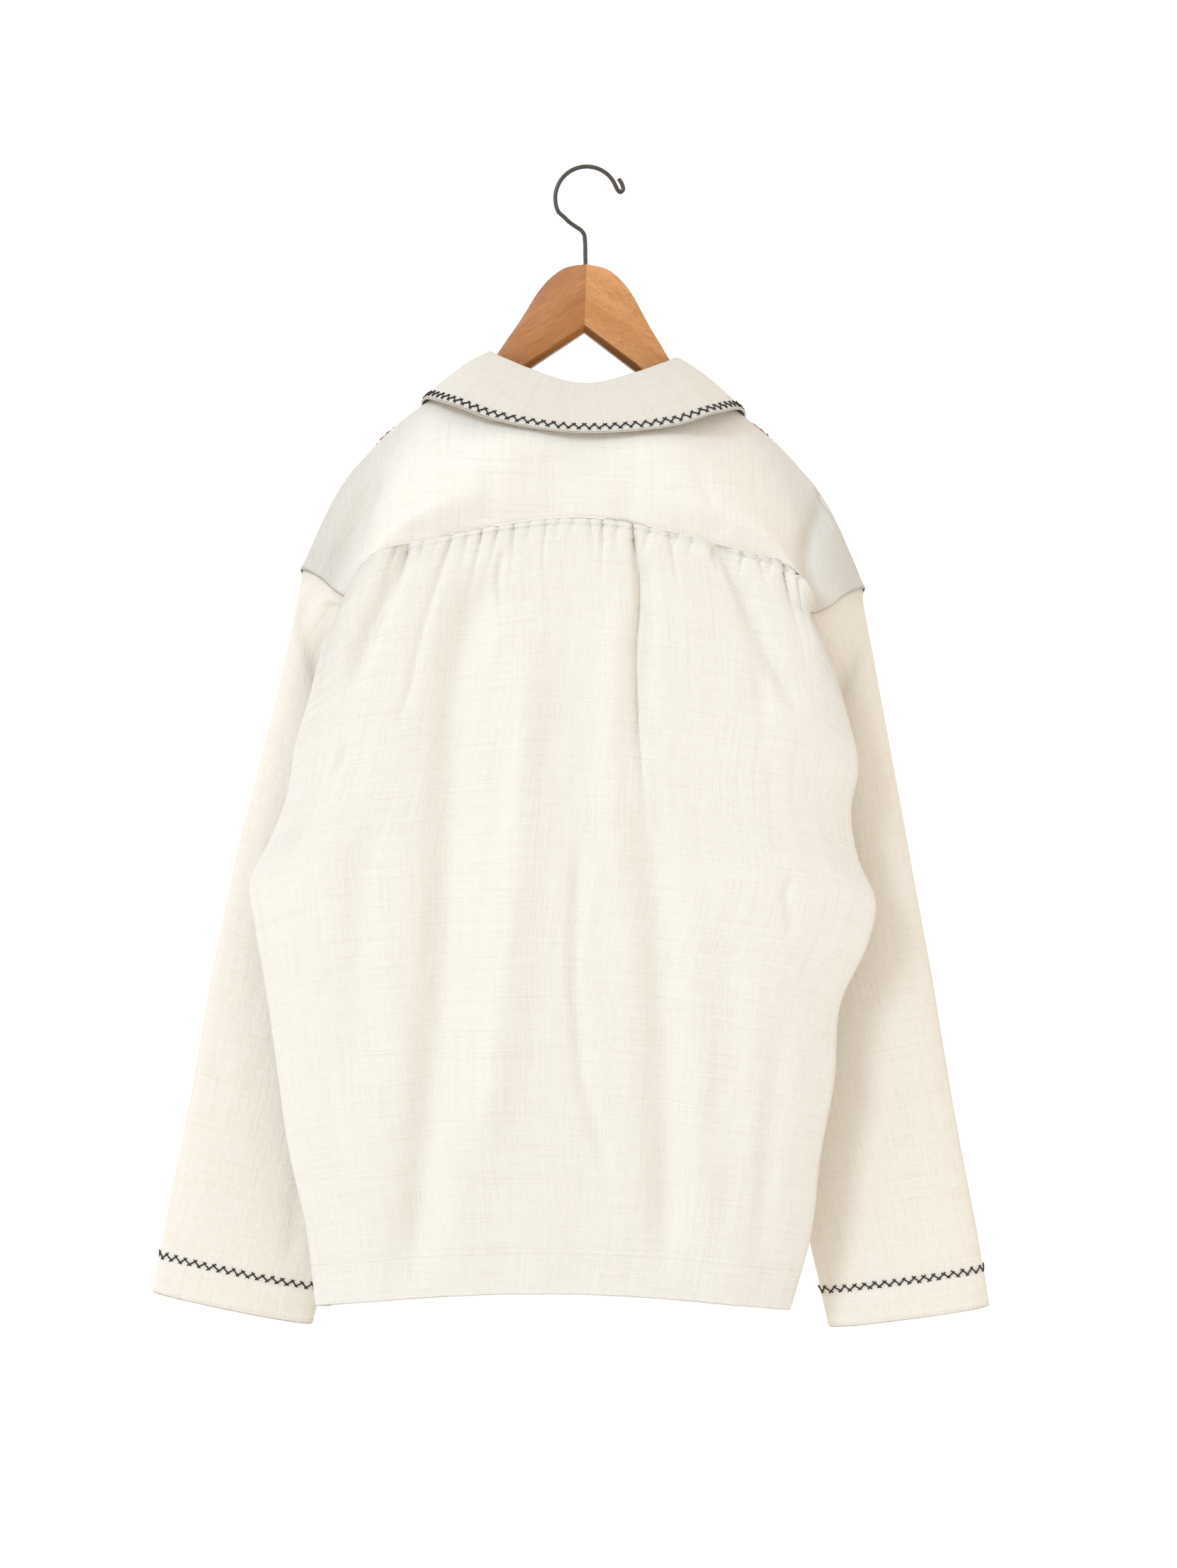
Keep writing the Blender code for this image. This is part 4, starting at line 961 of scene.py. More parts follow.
def sleeve_surface(side, places, turns):
    """A sleeve as rings of points. places run from 0 at the armhole to 1 at the cuff."""
    angle = 2 * math.pi * turns
    rings = [armhole_ring(turns)]
    ways = np.linspace(SLEEVE[0][1], SLEEVE[-1][1], len(SLEEVE_OUT[side]))
    for row in SLEEVE:
        cut = dict(zip(SLEEVE_COLUMNS, row))
        out, down = (np.interp(-cut["outer_z"], -ways, table[side]) for table in (SLEEVE_OUT, SLEEVE_DOWN))
        outer = np.array([cut["outer_x"] + out, cut["middle_y"], cut["outer_z"] - down])
        inner = np.array([cut["inner_x"] + out, cut["middle_y"], cut["inner_z"] - down])
        along = np.sign(np.cos(angle)) * np.abs(np.cos(angle)) ** 0.9
        depth = np.sign(np.sin(angle)) * np.abs(np.sin(angle)) ** 0.8 * cut["half_depth"]
        ring = (outer + inner) / 2 + along[:, None] * (outer - inner) / 2
        ring[:, 1] -= depth
        rings.append(ring)
    rings = np.array(rings)
    spine = chord_lengths(rings.mean(axis=1))
    found = through(spine / spine[-1], rings, places)
    return found if side == "right" else mirrored(found)


# %% [markdown]
# A sleeve's top follows the folds of the border it is sewn to, and this fades out further down.
# Its first row lies a little inside the yoke and the back, so that no light shows between them.
# Folds are drawn only on the side that is seen, and the hem is a band of doubled cloth.

# %% Sleeves
SLEEVE_FOLDS = {
    "left": (
        (((-197, -335), (-201, -355), (-210, -392), (-222, -440)), 9, 4.5, 6, 60),
        (((-222, -760), (-229, -820), (-232, -862)), 5, 1.5, 20, 20),
        (((-214, -740), (-221, -800), (-226, -850)), 3, 1.0, 20, 20),
        (((-262, -470), (-283, -620), (-297, -760)), 16, 1.2, 60, 60),
    ),
    "right": (
        (((196, -330), (212, -372), (232, -430)), 10, 1.5, 12, 60),
        (((262, -450), (284, -600), (300, -740)), 16, 1.4, 60, 60),
        (((240, -700), (262, -800), (270, -850)), 9, 1.2, 50, 30),
    ),
}
SLEEVE_TURNS = 132
SEAM_REACH = 40.0  # how far down the sleeve the folds of the yoke's border are felt
SLEEVE_UNDER = 1.6  # how far the sleeve's first row lies inside the yoke and the back
TOP_LONGER = 0.4  # how far that row is moved up, as a share of the way to the next one
FOLDS_FROM = 16.0  # the folds reach full depth this far down the sleeve
seam_from, seam_by = (np.concatenate(parts) for parts in zip(*seam_moves))
turns = np.arange(SLEEVE_TURNS) / SLEEVE_TURNS
row_zones = [(0, 12, 1.6), (12, 40, 3), (SLEEVE_LENGTH - ROW_ENDS, SLEEVE_LENGTH, 1.8)]
down_sleeve = spaced(SLEEVE_LENGTH, 5.6, row_zones)
sleeves = {}
for side, seed in (("left", 41), ("right", 57)):
    base = sleeve_surface(side, down_sleeve / SLEEVE_LENGTH, turns)
    grid = hung(base)
    around = run_lengths(np.concatenate([grid, grid[:, :1]], axis=1), 1)
    quarter = SLEEVE_TURNS // 4
    around -= around[:, quarter:quarter + 1]
    flat = (around, np.broadcast_to(-down_sleeve[:, None], around.shape))
    sign = outward_sign(grid, (0, -1, 0), (len(grid) // 3, quarter), closed=True)
    way = normals(grid, True) * sign
    nearest = np.linalg.norm(grid[0][:, None] - seam_from[None], axis=2).argmin(axis=1)
    with_seam = seam_by[nearest]
    for _ in range(2):
        with_seam = (np.roll(with_seam, 1, axis=0) + 2 * with_seam + np.roll(with_seam, -1, axis=0)) / 4
    felt = np.exp(-((down_sleeve / SEAM_REACH) ** 2))[:, None, None]
    seen = (way[..., 1] < 0) * eased(down_sleeve / FOLDS_FROM)[:, None]
    pull = sum(line_pull(grid, *row) for row in SLEEVE_FOLDS[side]) * seen
    to_cuff = SLEEVE_LENGTH - np.broadcast_to(down_sleeve[:, None], grid.shape[:2])
    pull += hem_pull(to_cuff, CUFF_BAND, 0.5, 0.3)
    ripple = rippled(flat[0][:, :-1], flat[1][:, :-1], seed=seed, strength=0.8)
    join = np.abs(((turns + 0.5) % 1.0) - 0.5) * 2
    ripple = ripple * eased(join / 0.06) * eased((SLEEVE_LENGTH - to_cuff) / 30)
    tucked_under = 0.1 * np.exp(-(((SLEEVE_LENGTH - to_cuff) / 3.0) ** 2))
    grid += way * (ripple - pull - tucked_under)[..., None] + with_seam[None] * felt
    grid[0] += (grid[0] - grid[1]) * TOP_LONGER - way[0] * SLEEVE_UNDER
    thickness = hem_thickness(SLEEVE_LENGTH - down_sleeve, CUFF_BAND, 0.6)
    name = f"shirt_sleeve_{side}"
    sleeves[side] = cloth_shell(name, grid, sign, thickness, flat, sleeve_cotton_painted_warm_shade, closed=True)

# %% [markdown]
# ## The fronts
#
# The fronts can't be seen in the picture, so they are finished plainly: two panels that lap over
# each other at the middle, with a buttoned placket. The left one lies inside the right one.

# %% Fronts
LAP, UNDERLAP = 14.0, 4.2
FRONT_NECK = ((57, 48, -188), (38, 57, -216), (16, 61, -238), (0, 61.5, -240), (-LAP, 61.5, -240))
PLACKET = 28.0


def front_surface(side, shares, drops):
    """A front. shares run from 0 at the side to 1 past the middle, drops from top to hem."""
    yoke_front = yoke_surface(np.array([1.0]), np.linspace(1, 0, 25))[:, 0]
    edge = np.vstack([yoke_front, np.array(FRONT_NECK, float)])
    length = chord_lengths(edge)
    top_line = through(length / length[-1], edge, shares)
    found = []
    for drop in drops:
        height = BODY_TOP + drop * (HEM_SIDE - BODY_TOP)
        fore_x, fore_y, front_y = body_values(height, ("fore_x", "fore_y", "front_y"))
        control = np.array([
            (fore_x, fore_y, height),
            (0.72 * fore_x, 0.45 * fore_y + 0.55 * front_y, height),
            (0.36 * fore_x, 0.05 * fore_y + 0.95 * front_y, height),
            (0, front_y, height),
            (-LAP, front_y, height),
        ])
        knots = chord_lengths(control)
        found.append(through(knots / knots[-1], control, shares))
    found = np.array(found)
    off_top = top_line - found[0]
    across = np.clip(found[-1, :, 0] / found[-1, 0, 0], 0, 1) * (1 if side == "right" else -1)
    for i, drop in enumerate(drops):
        found[i, :, 2] += (1 - drop) * off_top[:, 2] + hem_offset(across, drop)
        found[i, :, :2] += (1 - eased(drop / 0.45)) * off_top[:, :2]
    if side == "right":
        return found
    inward = UNDERLAP * eased((LAP * 2.4 - found[:, :, 0]) / (LAP * 1.2))
    return mirrored(found - normals(found) * outward_sign(found, (0, 1, 0)) * inward[:, :, None])


FRONT_FOLDS = {
    "left": (
        (((-95, -300), (-110, -480), (-118, -700)), 16, 2.4, 60, 120),
        (((-60, -330), (-66, -600), (-70, -840)), 12, 1.6, 60, 60),
    ),
    "right": (
        (((100, -310), (112, -500), (122, -720)), 15, 2.2, 60, 120),
        (((58, -340), (64, -620), (74, -850)), 13, 1.8, 60, 60),
    ),
}
front_shares = np.linspace(0, 1, 131)
front_below = spaced(body_length, 5.8, [(0, 20, 2.5), (body_length - ROW_ENDS, body_length, 1.9)])
fronts = {}
for side, seed in (("left", 71), ("right", 83)):
    base = front_surface(side, front_shares, front_below / body_length)
    grid = hung(base)
    sign = outward_sign(grid, (0, 1, 0))
    way = normals(grid) * sign
    run = run_lengths(base, 1)
    to_edge = run[:, -1:] - run
    flat = (to_edge, np.broadcast_to(-front_below[:, None], to_edge.shape))
    to_hem = body_length - np.broadcast_to(front_below[:, None], to_edge.shape)
    pull = sum(line_pull(grid, *row) for row in FRONT_FOLDS[side])
    pull += hem_pull(to_hem, HEM_BAND, 0.5, 0.3)
    calm = eased(to_edge / 40) * eased((run + 4) / 30) * eased((front_below[:, None] + 3) / 40)
    ripple = rippled(*flat, seed=seed, strength=0.9)
    band = -0.3 * eased((PLACKET - to_edge) / 2) + 0.45 * np.exp(-(((to_edge - PLACKET) / 1.8) ** 2))
    grid += way * ((ripple - pull) * calm - band * eased(front_below[:, None] / 12))[..., None]
    thickness = hem_thickness(body_length - front_below, HEM_BAND, 0.5)
    fronts[side] = cloth_shell(f"shirt_front_{side}", grid, sign, thickness, flat, body_cotton)

# %% [markdown]
# ## The collar
#
# The collar is two layers, sewn together inside out, turned and pressed. It stands up from the
# neck seam, rolls over in a small radius and falls to its edge, wider towards the points.

# %% Collar
COLLAR_SEAM = (
    (0, -36, -188), (46, -28, -176), (64, -13, -163), (77, 6, -156.5),
    (69, 36, -166), (57, 48, -188), (38, 57, -216), (10, 61.2, -239),
)
COLLAR_ROLL = (
    (0, -30, -172.5), (41, -22, -160.5), (60, -8, -150.5), (70.5, 7, -145.5),
    (66, 36, -157), (53, 50, -179), (35, 60, -206), (10, 65, -230),
)
COLLAR_EDGE = (
    (0, -60, -212), (71, -52, -203), (103, -34, -190), (127, 14, -183),
    (121, 57, -205), (105, 67, -232), (82, 71, -264), (52, 72, -296),
)
COLLAR_SHARES = (0.0, 0.22, 0.35, 0.50, 0.62, 0.76, 0.88, 1.0)
COLLAR_CLOTH = 1.7
ROLL_RADIUS = 2.6
ROLL_TURN = math.radians(144)
COLLAR_BULGE = 8.0
MID_FALL = 25  # the row whose length sets the cloth's coordinates across the collar


def collar_surface(shares, levels):
    """The collar as one turned cloth. levels run 0 to 1 up its stand, 1 to 2 round its roll and
    2 to 3 down its fall."""
    knots = both_shares(COLLAR_SHARES)
    lines = (COLLAR_SEAM, COLLAR_ROLL, COLLAR_EDGE)
    seam, roll, edge = (through(knots, both_sides(line), shares) for line in lines)
    stand = roll - seam
    up_way = unit(stand)
    fall_way = unit(edge - roll)
    out_way = unit(fall_way - (fall_way * up_way).sum(axis=1, keepdims=True) * up_way)
    lift = ROLL_RADIUS * up_way
    full_swing = out_way * (1 - math.cos(ROLL_TURN)) + up_way * math.sin(ROLL_TURN)
    turned = roll - lift + ROLL_RADIUS * full_swing
    width = np.linalg.norm(edge - turned, axis=1)[:, None]
    rows = []
    for level in levels:
        if level <= 1:
            rows.append(seam + (stand - lift) * level)
        elif level <= 2:
            turn = (level - 1) * ROLL_TURN
            swing = out_way * (1 - math.cos(turn)) + up_way * math.sin(turn)
            rows.append(roll - lift + ROLL_RADIUS * swing)
        else:
            bulge = COLLAR_BULGE * math.sin(math.pi * (level - 2)) * (width / 70) ** 2
            rows.append(turned + (edge - turned) * (level - 2) + bulge * up_way)
    return np.array(rows)


collar_shares = np.linspace(-1, 1, 301)
collar_levels = np.concatenate([
    np.linspace(0.04, 0.9, 7), np.linspace(1.0, 2.0, 11), np.linspace(2.05, 2.9, 18), [2.94, 2.97, 3.0]
])
base = collar_surface(collar_shares, collar_levels)
grid = hung(base)
sign = outward_sign(grid, (0, -1, 0), (len(collar_levels) - 3, len(collar_shares) // 2))
way = normals(grid) * sign
sideways = chord_lengths(base[MID_FALL])
sideways -= sideways[len(sideways) // 2]
flat = (np.broadcast_to(sideways, grid.shape[:2]), -run_lengths(base, 0))
ripple = rippled(*flat, seed=95, strength=0.5) * eased((collar_levels[:, None] - 1.9) / 0.5)
grid += way * ripple[..., None]
collar = cloth_shell("shirt_collar", grid, sign, COLLAR_CLOTH, flat, collar_cotton_painted_shade)

# %% [markdown]
# ## Laying stitches with Geometry Nodes
#
# Every stitch is the same small thing: a bit of thread that comes up, bridges a gap and goes
# down again. So one tree lays them all. It takes a mesh of loose points, each with three named
# attributes (`along`, `up` and `span`), and puts an arched strand of thread on each. Its inputs
# set the thread's width, the arch, the unevenness of the hand and the seed. Realize Instances
# turns the copies into real geometry, and Set Material comes last.

# %% Stitch tree
def socket_names(tree, rows):
    """Adds named inputs to a node tree, and its geometry output."""
    tree.interface.new_socket("Geometry", in_out="OUTPUT", socket_type="NodeSocketGeometry")
    for name, kind in rows:
        tree.interface.new_socket(name, in_out="INPUT", socket_type="NodeSocket" + kind)


def stitch_tree():
    tree = bpy.data.node_groups.new("lay stitches", "GeometryNodeTree")
    socket_names(tree, (
        ("Points", "Geometry"), ("Thread width", "Float"), ("Arch", "Float"),
        ("Unevenness", "Float"), ("Seed", "Int"), ("Thread", "Material"),
    ))

    def node(kind, links=(), **values):
        return add_node(tree, kind, links, **values)

    def times(a, b):
        return node("ShaderNodeMath", [(0, a), (1, b)], operation="MULTIPLY").outputs[0]

    def named(name, kind):
        return node("GeometryNodeInputNamedAttribute", [("Name", name)], data_type=kind).outputs[0]

    given = tree.nodes.new("NodeGroupInput").outputs
    uneven, seed = given["Unevenness"], given["Seed"]
    chance = node("FunctionNodeRandomValue", [("Seed", seed)], data_type="FLOAT_VECTOR")
    chance.inputs[0].default_value, chance.inputs[1].default_value = (-1, -1, -1), (1, 1, 1)
    parts = node("ShaderNodeSeparateXYZ", [(0, chance.outputs[0])]).outputs
    peak = node("ShaderNodeCombineXYZ", [(2, times(given["Arch"], 2.0))]).outputs[0]
    strand = node("GeometryNodeCurveQuadraticBezier", [
        ("Resolution", 5), ("Start", (-0.5, 0, 0)), ("Middle", peak), ("End", (0.5, 0, 0))
    ]).outputs[0]
    ring = node("GeometryNodeCurvePrimitiveCircle", [
        ("Resolution", 6), ("Radius", times(given["Thread width"], 0.5))
    ]).outputs[0]
    rows = [("Curve", strand), ("Profile Curve", ring), ("Fill Caps", True)]
    tube = node("GeometryNodeCurveToMesh", rows).outputs[0]
    facing = node("FunctionNodeAxesToRotation", [
        (0, named("up", "FLOAT_VECTOR")), (1, named("along", "FLOAT_VECTOR"))
    ], primary_axis="Z", secondary_axis="X").outputs[0]
    twist = node("FunctionNodeAxisAngleToRotation", [(0, (0, 0, 1)), (1, times(parts[0], uneven))]).outputs[0]
    facing = node("FunctionNodeRotateRotation", [(0, facing), (1, twist)], rotation_space="LOCAL").outputs[0]
    stretch = node("ShaderNodeMath", [(0, times(parts[1], uneven)), (1, 1.0)], operation="ADD").outputs[0]
    length = times(named("span", "FLOAT"), stretch)
    size = node("ShaderNodeCombineXYZ", [(0, length), (1, 1.0), (2, 1.0)]).outputs[0]
    laid = node("GeometryNodeInstanceOnPoints", [
        ("Points", given["Points"]), ("Instance", tube), ("Rotation", facing), ("Scale", size)
    ]).outputs[0]
    real = node("GeometryNodeRealizeInstances", [(0, laid)]).outputs[0]
    smooth = node("GeometryNodeSetShadeSmooth", [(0, real)]).outputs[0]
    rows = [("Geometry", smooth), ("Material", given["Thread"])]
    finished = node("GeometryNodeSetMaterial", rows).outputs[0]
    tree.links.new(finished, tree.nodes.new("NodeGroupOutput").inputs[0])
    return tree


def grown(name, mesh, tree, settings):
    """The plain mesh that a node tree makes from a mesh, as a finished object."""
    holder = link_mesh(name + "_points", mesh)
    modifier = holder.modifiers.new("grow", "NODES")
    modifier.node_group = tree
    for item in tree.interface.items_tree:
        if item.in_out == "INPUT" and item.name in settings:
            modifier[item.identifier] = settings[item.name]
    bpy.context.view_layer.update()
    graph = bpy.context.evaluated_depsgraph_get()
    made = bpy.data.meshes.new_from_object(holder.evaluated_get(graph))
    bpy.data.objects.remove(holder)
    made.name = name
    return link_mesh(name, made)


stitches = stitch_tree()


def lay_stitches(name, places, along, up, span, thread, width, arch, uneven, seed):
    """One piece of needlework. places, along and up are rows of points and directions. span is
    the stitches' length. All of these, the width and the arch are in millimetres."""
    mesh = bpy.data.meshes.new(name)
    mesh.from_pydata((np.asarray(places) * MM).tolist(), [], [])
    for key, kind, values in (
        ("along", "FLOAT_VECTOR", along), ("up", "FLOAT_VECTOR", up),
        ("span", "FLOAT", np.broadcast_to(span, len(places)) * MM),
    ):
        field = "vector" if kind == "FLOAT_VECTOR" else "value"
        layer = mesh.attributes.new(key, kind, "POINT")
        layer.data.foreach_set(field, np.asarray(values, np.float32).ravel())
    made = grown(name, mesh, stitches, {
        "Thread width": width * MM, "Arch": arch * MM, "Unevenness": uneven, "Seed": seed, "Thread": thread
    })
    print(f"{name}: {len(places)} stitches, {sum(len(p.vertices) - 2 for p in made.data.polygons)} triangles")
    return made


# %% [markdown]
# ## Drawing a stitch line on the cloth
#
# A stitch line keeps a distance from an edge, the way a sewer follows the edge of the presser
# foot. `line_beside` finds that line on a cloth's grid, and `sewn_points` walks along it at the
# stitch's pitch and returns where each stitch sits, which way it runs and which way is up.

# %% Stitch lines
def on_cloth(name, rows, columns):
    """Places and outward ways on a cloth's outer side, at fractional rows and columns."""
    outer, way, closed = cloth_grids[name]
    count = outer.shape[1]
    i = np.clip(np.floor(rows).astype(int), 0, outer.shape[0] - 2)
    s = (rows - i)[:, None]
    if closed:
        j = np.floor(columns).astype(int)
        t = (columns - j)[:, None]
        j, after = j % count, (j + 1) % count
    else:
        j = np.clip(np.floor(columns).astype(int), 0, count - 2)
        t = (columns - j)[:, None]
        after = j + 1

    def read(field):
        upper = field[i, j] * (1 - t) + field[i, after] * t
        lower = field[i + 1, j] * (1 - t) + field[i + 1, after] * t
        return upper * (1 - s) + lower * s

    return read(outer), unit(read(way))


def line_beside(name, distance, border):
    """Fractional rows and columns of a line at a distance in millimetres from a border."""
    outer, _, closed = cloth_grids[name]
    field = outer if border in ("top", "bottom") else outer.transpose(1, 0, 2)
    if border in ("bottom", "right"):
        field = field[::-1]
    reach = run_lengths(field, 0)
    depth = np.array([np.interp(distance, reach[:, k], np.arange(len(reach))) for k in range(reach.shape[1])])
    if border in ("bottom", "right"):
        depth = len(field) - 1 - depth
    other = np.arange(field.shape[1], dtype=float)
    if closed and border in ("top", "bottom"):
        depth, other = np.append(depth, depth[0]), np.append(other, float(len(other)))
    return (depth, other) if border in ("top", "bottom") else (other, depth)


TOPSTITCH_PITCH, TOPSTITCH_LONG, TOPSTITCH_LIFT = 3.1, 2.3, 0.12


def sewn_points(name, line, pitch=TOPSTITCH_PITCH, start=0.0, end=0.0, shift=0.0):
    """Places, run directions and outward ways along a line, a pitch apart."""
    rows, columns = line
    length = chord_lengths(on_cloth(name, rows, columns)[0])
    at = np.arange(start + pitch / 2 + shift, length[-1] - end - pitch / 4, pitch)

    def read(where):
        return on_cloth(name, np.interp(where, length, rows), np.interp(where, length, columns))

    places, up = read(at)
    along = unit(read(at + 0.6)[0] - read(at - 0.6)[0])
    return places, along, up


def running_stitch(pieces):
    """Rows of topstitching, from lists of sewn points."""
    places, along, up = (np.concatenate([piece[k] for piece in pieces]) for k in range(3))
    return places + up * TOPSTITCH_LIFT, along, up, np.full(len(places), TOPSTITCH_LONG)


# %% [markdown]
# ## Herringbone embroidery
#
# The black border is herringbone stitch: long slanting stitches that lean left and right in
# turn, each crossing the last just before its end. Its size was read off the picture: about 8 mm
# from cross to cross, 5 mm high. On the wrong side of the cloth herringbone leaves two rows of
# short dashes, and these show where the collar turns over to the front.

# %% Embroidery
CROSS_PITCH = 7.8
STRAND_ALONG, STRAND_HIGH = 6.5, 5.5
STRAND_WIDE = 1.1
DASH_LONG, DASH_ROWS_APART = 2.2, 4.4


def herringbone(name, line, pitch=CROSS_PITCH, high=STRAND_HIGH, **ends):
    """Stitches that lean to both sides in turn along a line."""
    places, along, up = sewn_points(name, line, pitch / 2, **ends)
    sideways = np.cross(up, along)
    lean = np.where(np.arange(len(places)) % 2 == 0, 1.0, -1.0)[:, None]
    strand = along * STRAND_ALONG + sideways * lean * high
    lift = np.where(lean > 0, 0.34, 0.12)
    return places + up * lift, unit(strand), up, np.linalg.norm(strand, axis=1)


def reverse_dashes(name, line, thickness, **ends):
    """The short dashes that herringbone leaves on the other side of the cloth."""
    places, along, up = sewn_points(name, line, CROSS_PITCH, **ends)
    return places - up * (thickness + 0.15), along, -up, np.full(len(places), DASH_LONG)


def joined(*rows):
    return [np.concatenate([row[k] for row in rows]) for k in range(4)]


COLLAR_LINE = 4.9  # the border's middle, from the collar's edge
collar_line = line_beside("shirt_collar", COLLAR_LINE, "bottom")
collar_work = [herringbone("shirt_collar", collar_line, start=6, end=6)]
for border in ("left", "right"):
    short = line_beside("shirt_collar", COLLAR_LINE, border)
    fall = (short[0] > 20) & (short[0] < len(collar_levels) - 6)
    collar_work.append(herringbone("shirt_collar", (short[0][fall], short[1][fall])))
under = []
for off, shift in ((-DASH_ROWS_APART / 2, 0.0), (DASH_ROWS_APART / 2, CROSS_PITCH / 2)):
    line = line_beside("shirt_collar", COLLAR_LINE + off, "bottom")
    under.append(reverse_dashes("shirt_collar", line, COLLAR_CLOTH, start=6, end=6, shift=shift))
collar_embroidery = lay_stitches(
    "collar_embroidery", *joined(*collar_work, *under), black_thread,
    width=STRAND_WIDE, arch=0.35, uneven=0.09, seed=5,
)
cuff_embroidery = {
    side: lay_stitches(
        f"cuff_embroidery_{side}",
        *herringbone(f"shirt_sleeve_{side}", line_beside(f"shirt_sleeve_{side}", CUFF_BAND, "bottom")),
        black_thread, width=STRAND_WIDE, arch=0.35, uneven=0.11, seed=seed,
    )
    for side, seed in (("left", 7), ("right", 9))
}

# %% [markdown]
# A line of small red stitches runs along each shoulder just in front of its ridge. From behind
# only three or four of them peep over. It is laid on the yoke from near the collar to the armhole.

# %% Red shoulder line
RED_AHEAD, RED_RISE, RED_WIDTH = 10.0, 9.0, 0.065
RED_PEEP = {-1: 0.56, 1: 0.45}  # the level at which the line peeps over the ridge
RED_LEVELS = np.linspace(0.14, 0.78, 66)
RIDGE_SEARCH = 0.55  # the ridge lies beyond this share on every level
EYE = np.array(CAMERA_SPOT) / MM


def shoulder_line(side):
    """Just in front of the ridge, which is where the yoke turns from the eye."""
    outer, way, _ = cloth_grids["shirt_yoke"]
    facing = np.einsum("ijk,ijk->ij", outer - EYE, way)
    middle = YOKE_COLUMNS // 2
    rows, columns = np.interp(RED_LEVELS, levels, np.arange(len(levels))), []
    for level, row in zip(RED_LEVELS, np.round(rows).astype(int)):
        column = middle + side * int(RIDGE_SEARCH * middle)
        while facing[row, column] < 0 and 1 < column < YOKE_COLUMNS - 2:
            column += side
        ahead = RED_AHEAD - RED_RISE * math.exp(-(((level - RED_PEEP[side]) / RED_WIDTH) ** 2))
        gap = np.linalg.norm(outer[row, column] - outer[row, column - side])
        columns.append(column + side * ahead / gap)
    return rows, np.convolve(np.pad(columns, 3, mode="edge"), np.ones(7) / 7, mode="valid")


red_work = [herringbone("shirt_yoke", shoulder_line(side), pitch=6.6, high=4.0) for side in (-1, 1)]
shoulder_embroidery = lay_stitches(
    "shoulder_embroidery", *joined(*red_work), red_thread, width=0.75, arch=0.35, uneven=0.1, seed=15
)

# %% [markdown]
# ## Topstitching
#
# Plain running stitches in cream thread hold the yoke's edge, the hems, the cuffs' edges and the
# plackets. They hardly show, but a close look finds them.

# %% Topstitching
yoke_top = [sewn_points("shirt_yoke", line_beside("shirt_yoke", YOKE_STITCHING, "bottom"))]
back_hem = [sewn_points("shirt_back", line_beside("shirt_back", HEM_BAND, "bottom"))]
front_rows, cuff_rows = [], []
for side in ("left", "right"):
    name = f"shirt_front_{side}"
    for distance, border in ((HEM_BAND, "bottom"), (2.5, "right"), (PLACKET, "right")):
        front_rows.append(sewn_points(name, line_beside(name, distance, border)))
    name = f"shirt_sleeve_{side}"
    cuff_rows.append(sewn_points(name, line_beside(name, 2.2, "bottom")))
topstitching = {
    name: lay_stitches(
        f"topstitching_{name}", *running_stitch(rows), cream_thread,
        width=0.42, arch=0.2, uneven=0.05, seed=seed,
    )
    for name, rows, seed in (
        ("yoke", yoke_top, 21), ("back_hem", back_hem, 22),
        ("fronts", front_rows, 23), ("cuffs", cuff_rows, 24),
    )
}

# %% [markdown]
# ## The wooden hanger
#
# Two mitred beech arms meet in a bell shape at the middle. Each is a flat outline given a
# thickness, with its edges rounded over and the lower back edge chamfered more. That chamfer and
# the underside take a darker beech, painted shade for the shadow under the arms, which shows as a
# darker strip from behind. The arms lead slightly forwards from the mitre.

# %% Hanger arms
WOOD_THICK, WOOD_ROUND, WOOD_CHAMFER, CHAMFER_HIGH = 13.0, 1.0, 4.0, 5.0
ARM_SWEEP = math.radians(8)
ARM_TOP = (
    (0, -75), (17, -78.5), (29.5, -88), (38, -99), (45, -111), (52, -122.5), (60, -134.5), (68, -147),
    (78, -164), (98, -181), (125, -202), (150, -221), (161, -230),
)
ARM_TIP = ((165.5, -234.5), (167.3, -238.5), (167.3, -243.5), (165.5, -247.5), (161, -249))
ARM_UNDER = ((126, -227), (84, -191), (42, -156), (0, -127))
MITRE_GAP = 0.06
PAST_MITRE = 12.0  # each arm is drawn this far past the mitre before it is cut
UNDERSIDE_FACING = -0.35  # faces that point lower than this take the darker beech, painted shade


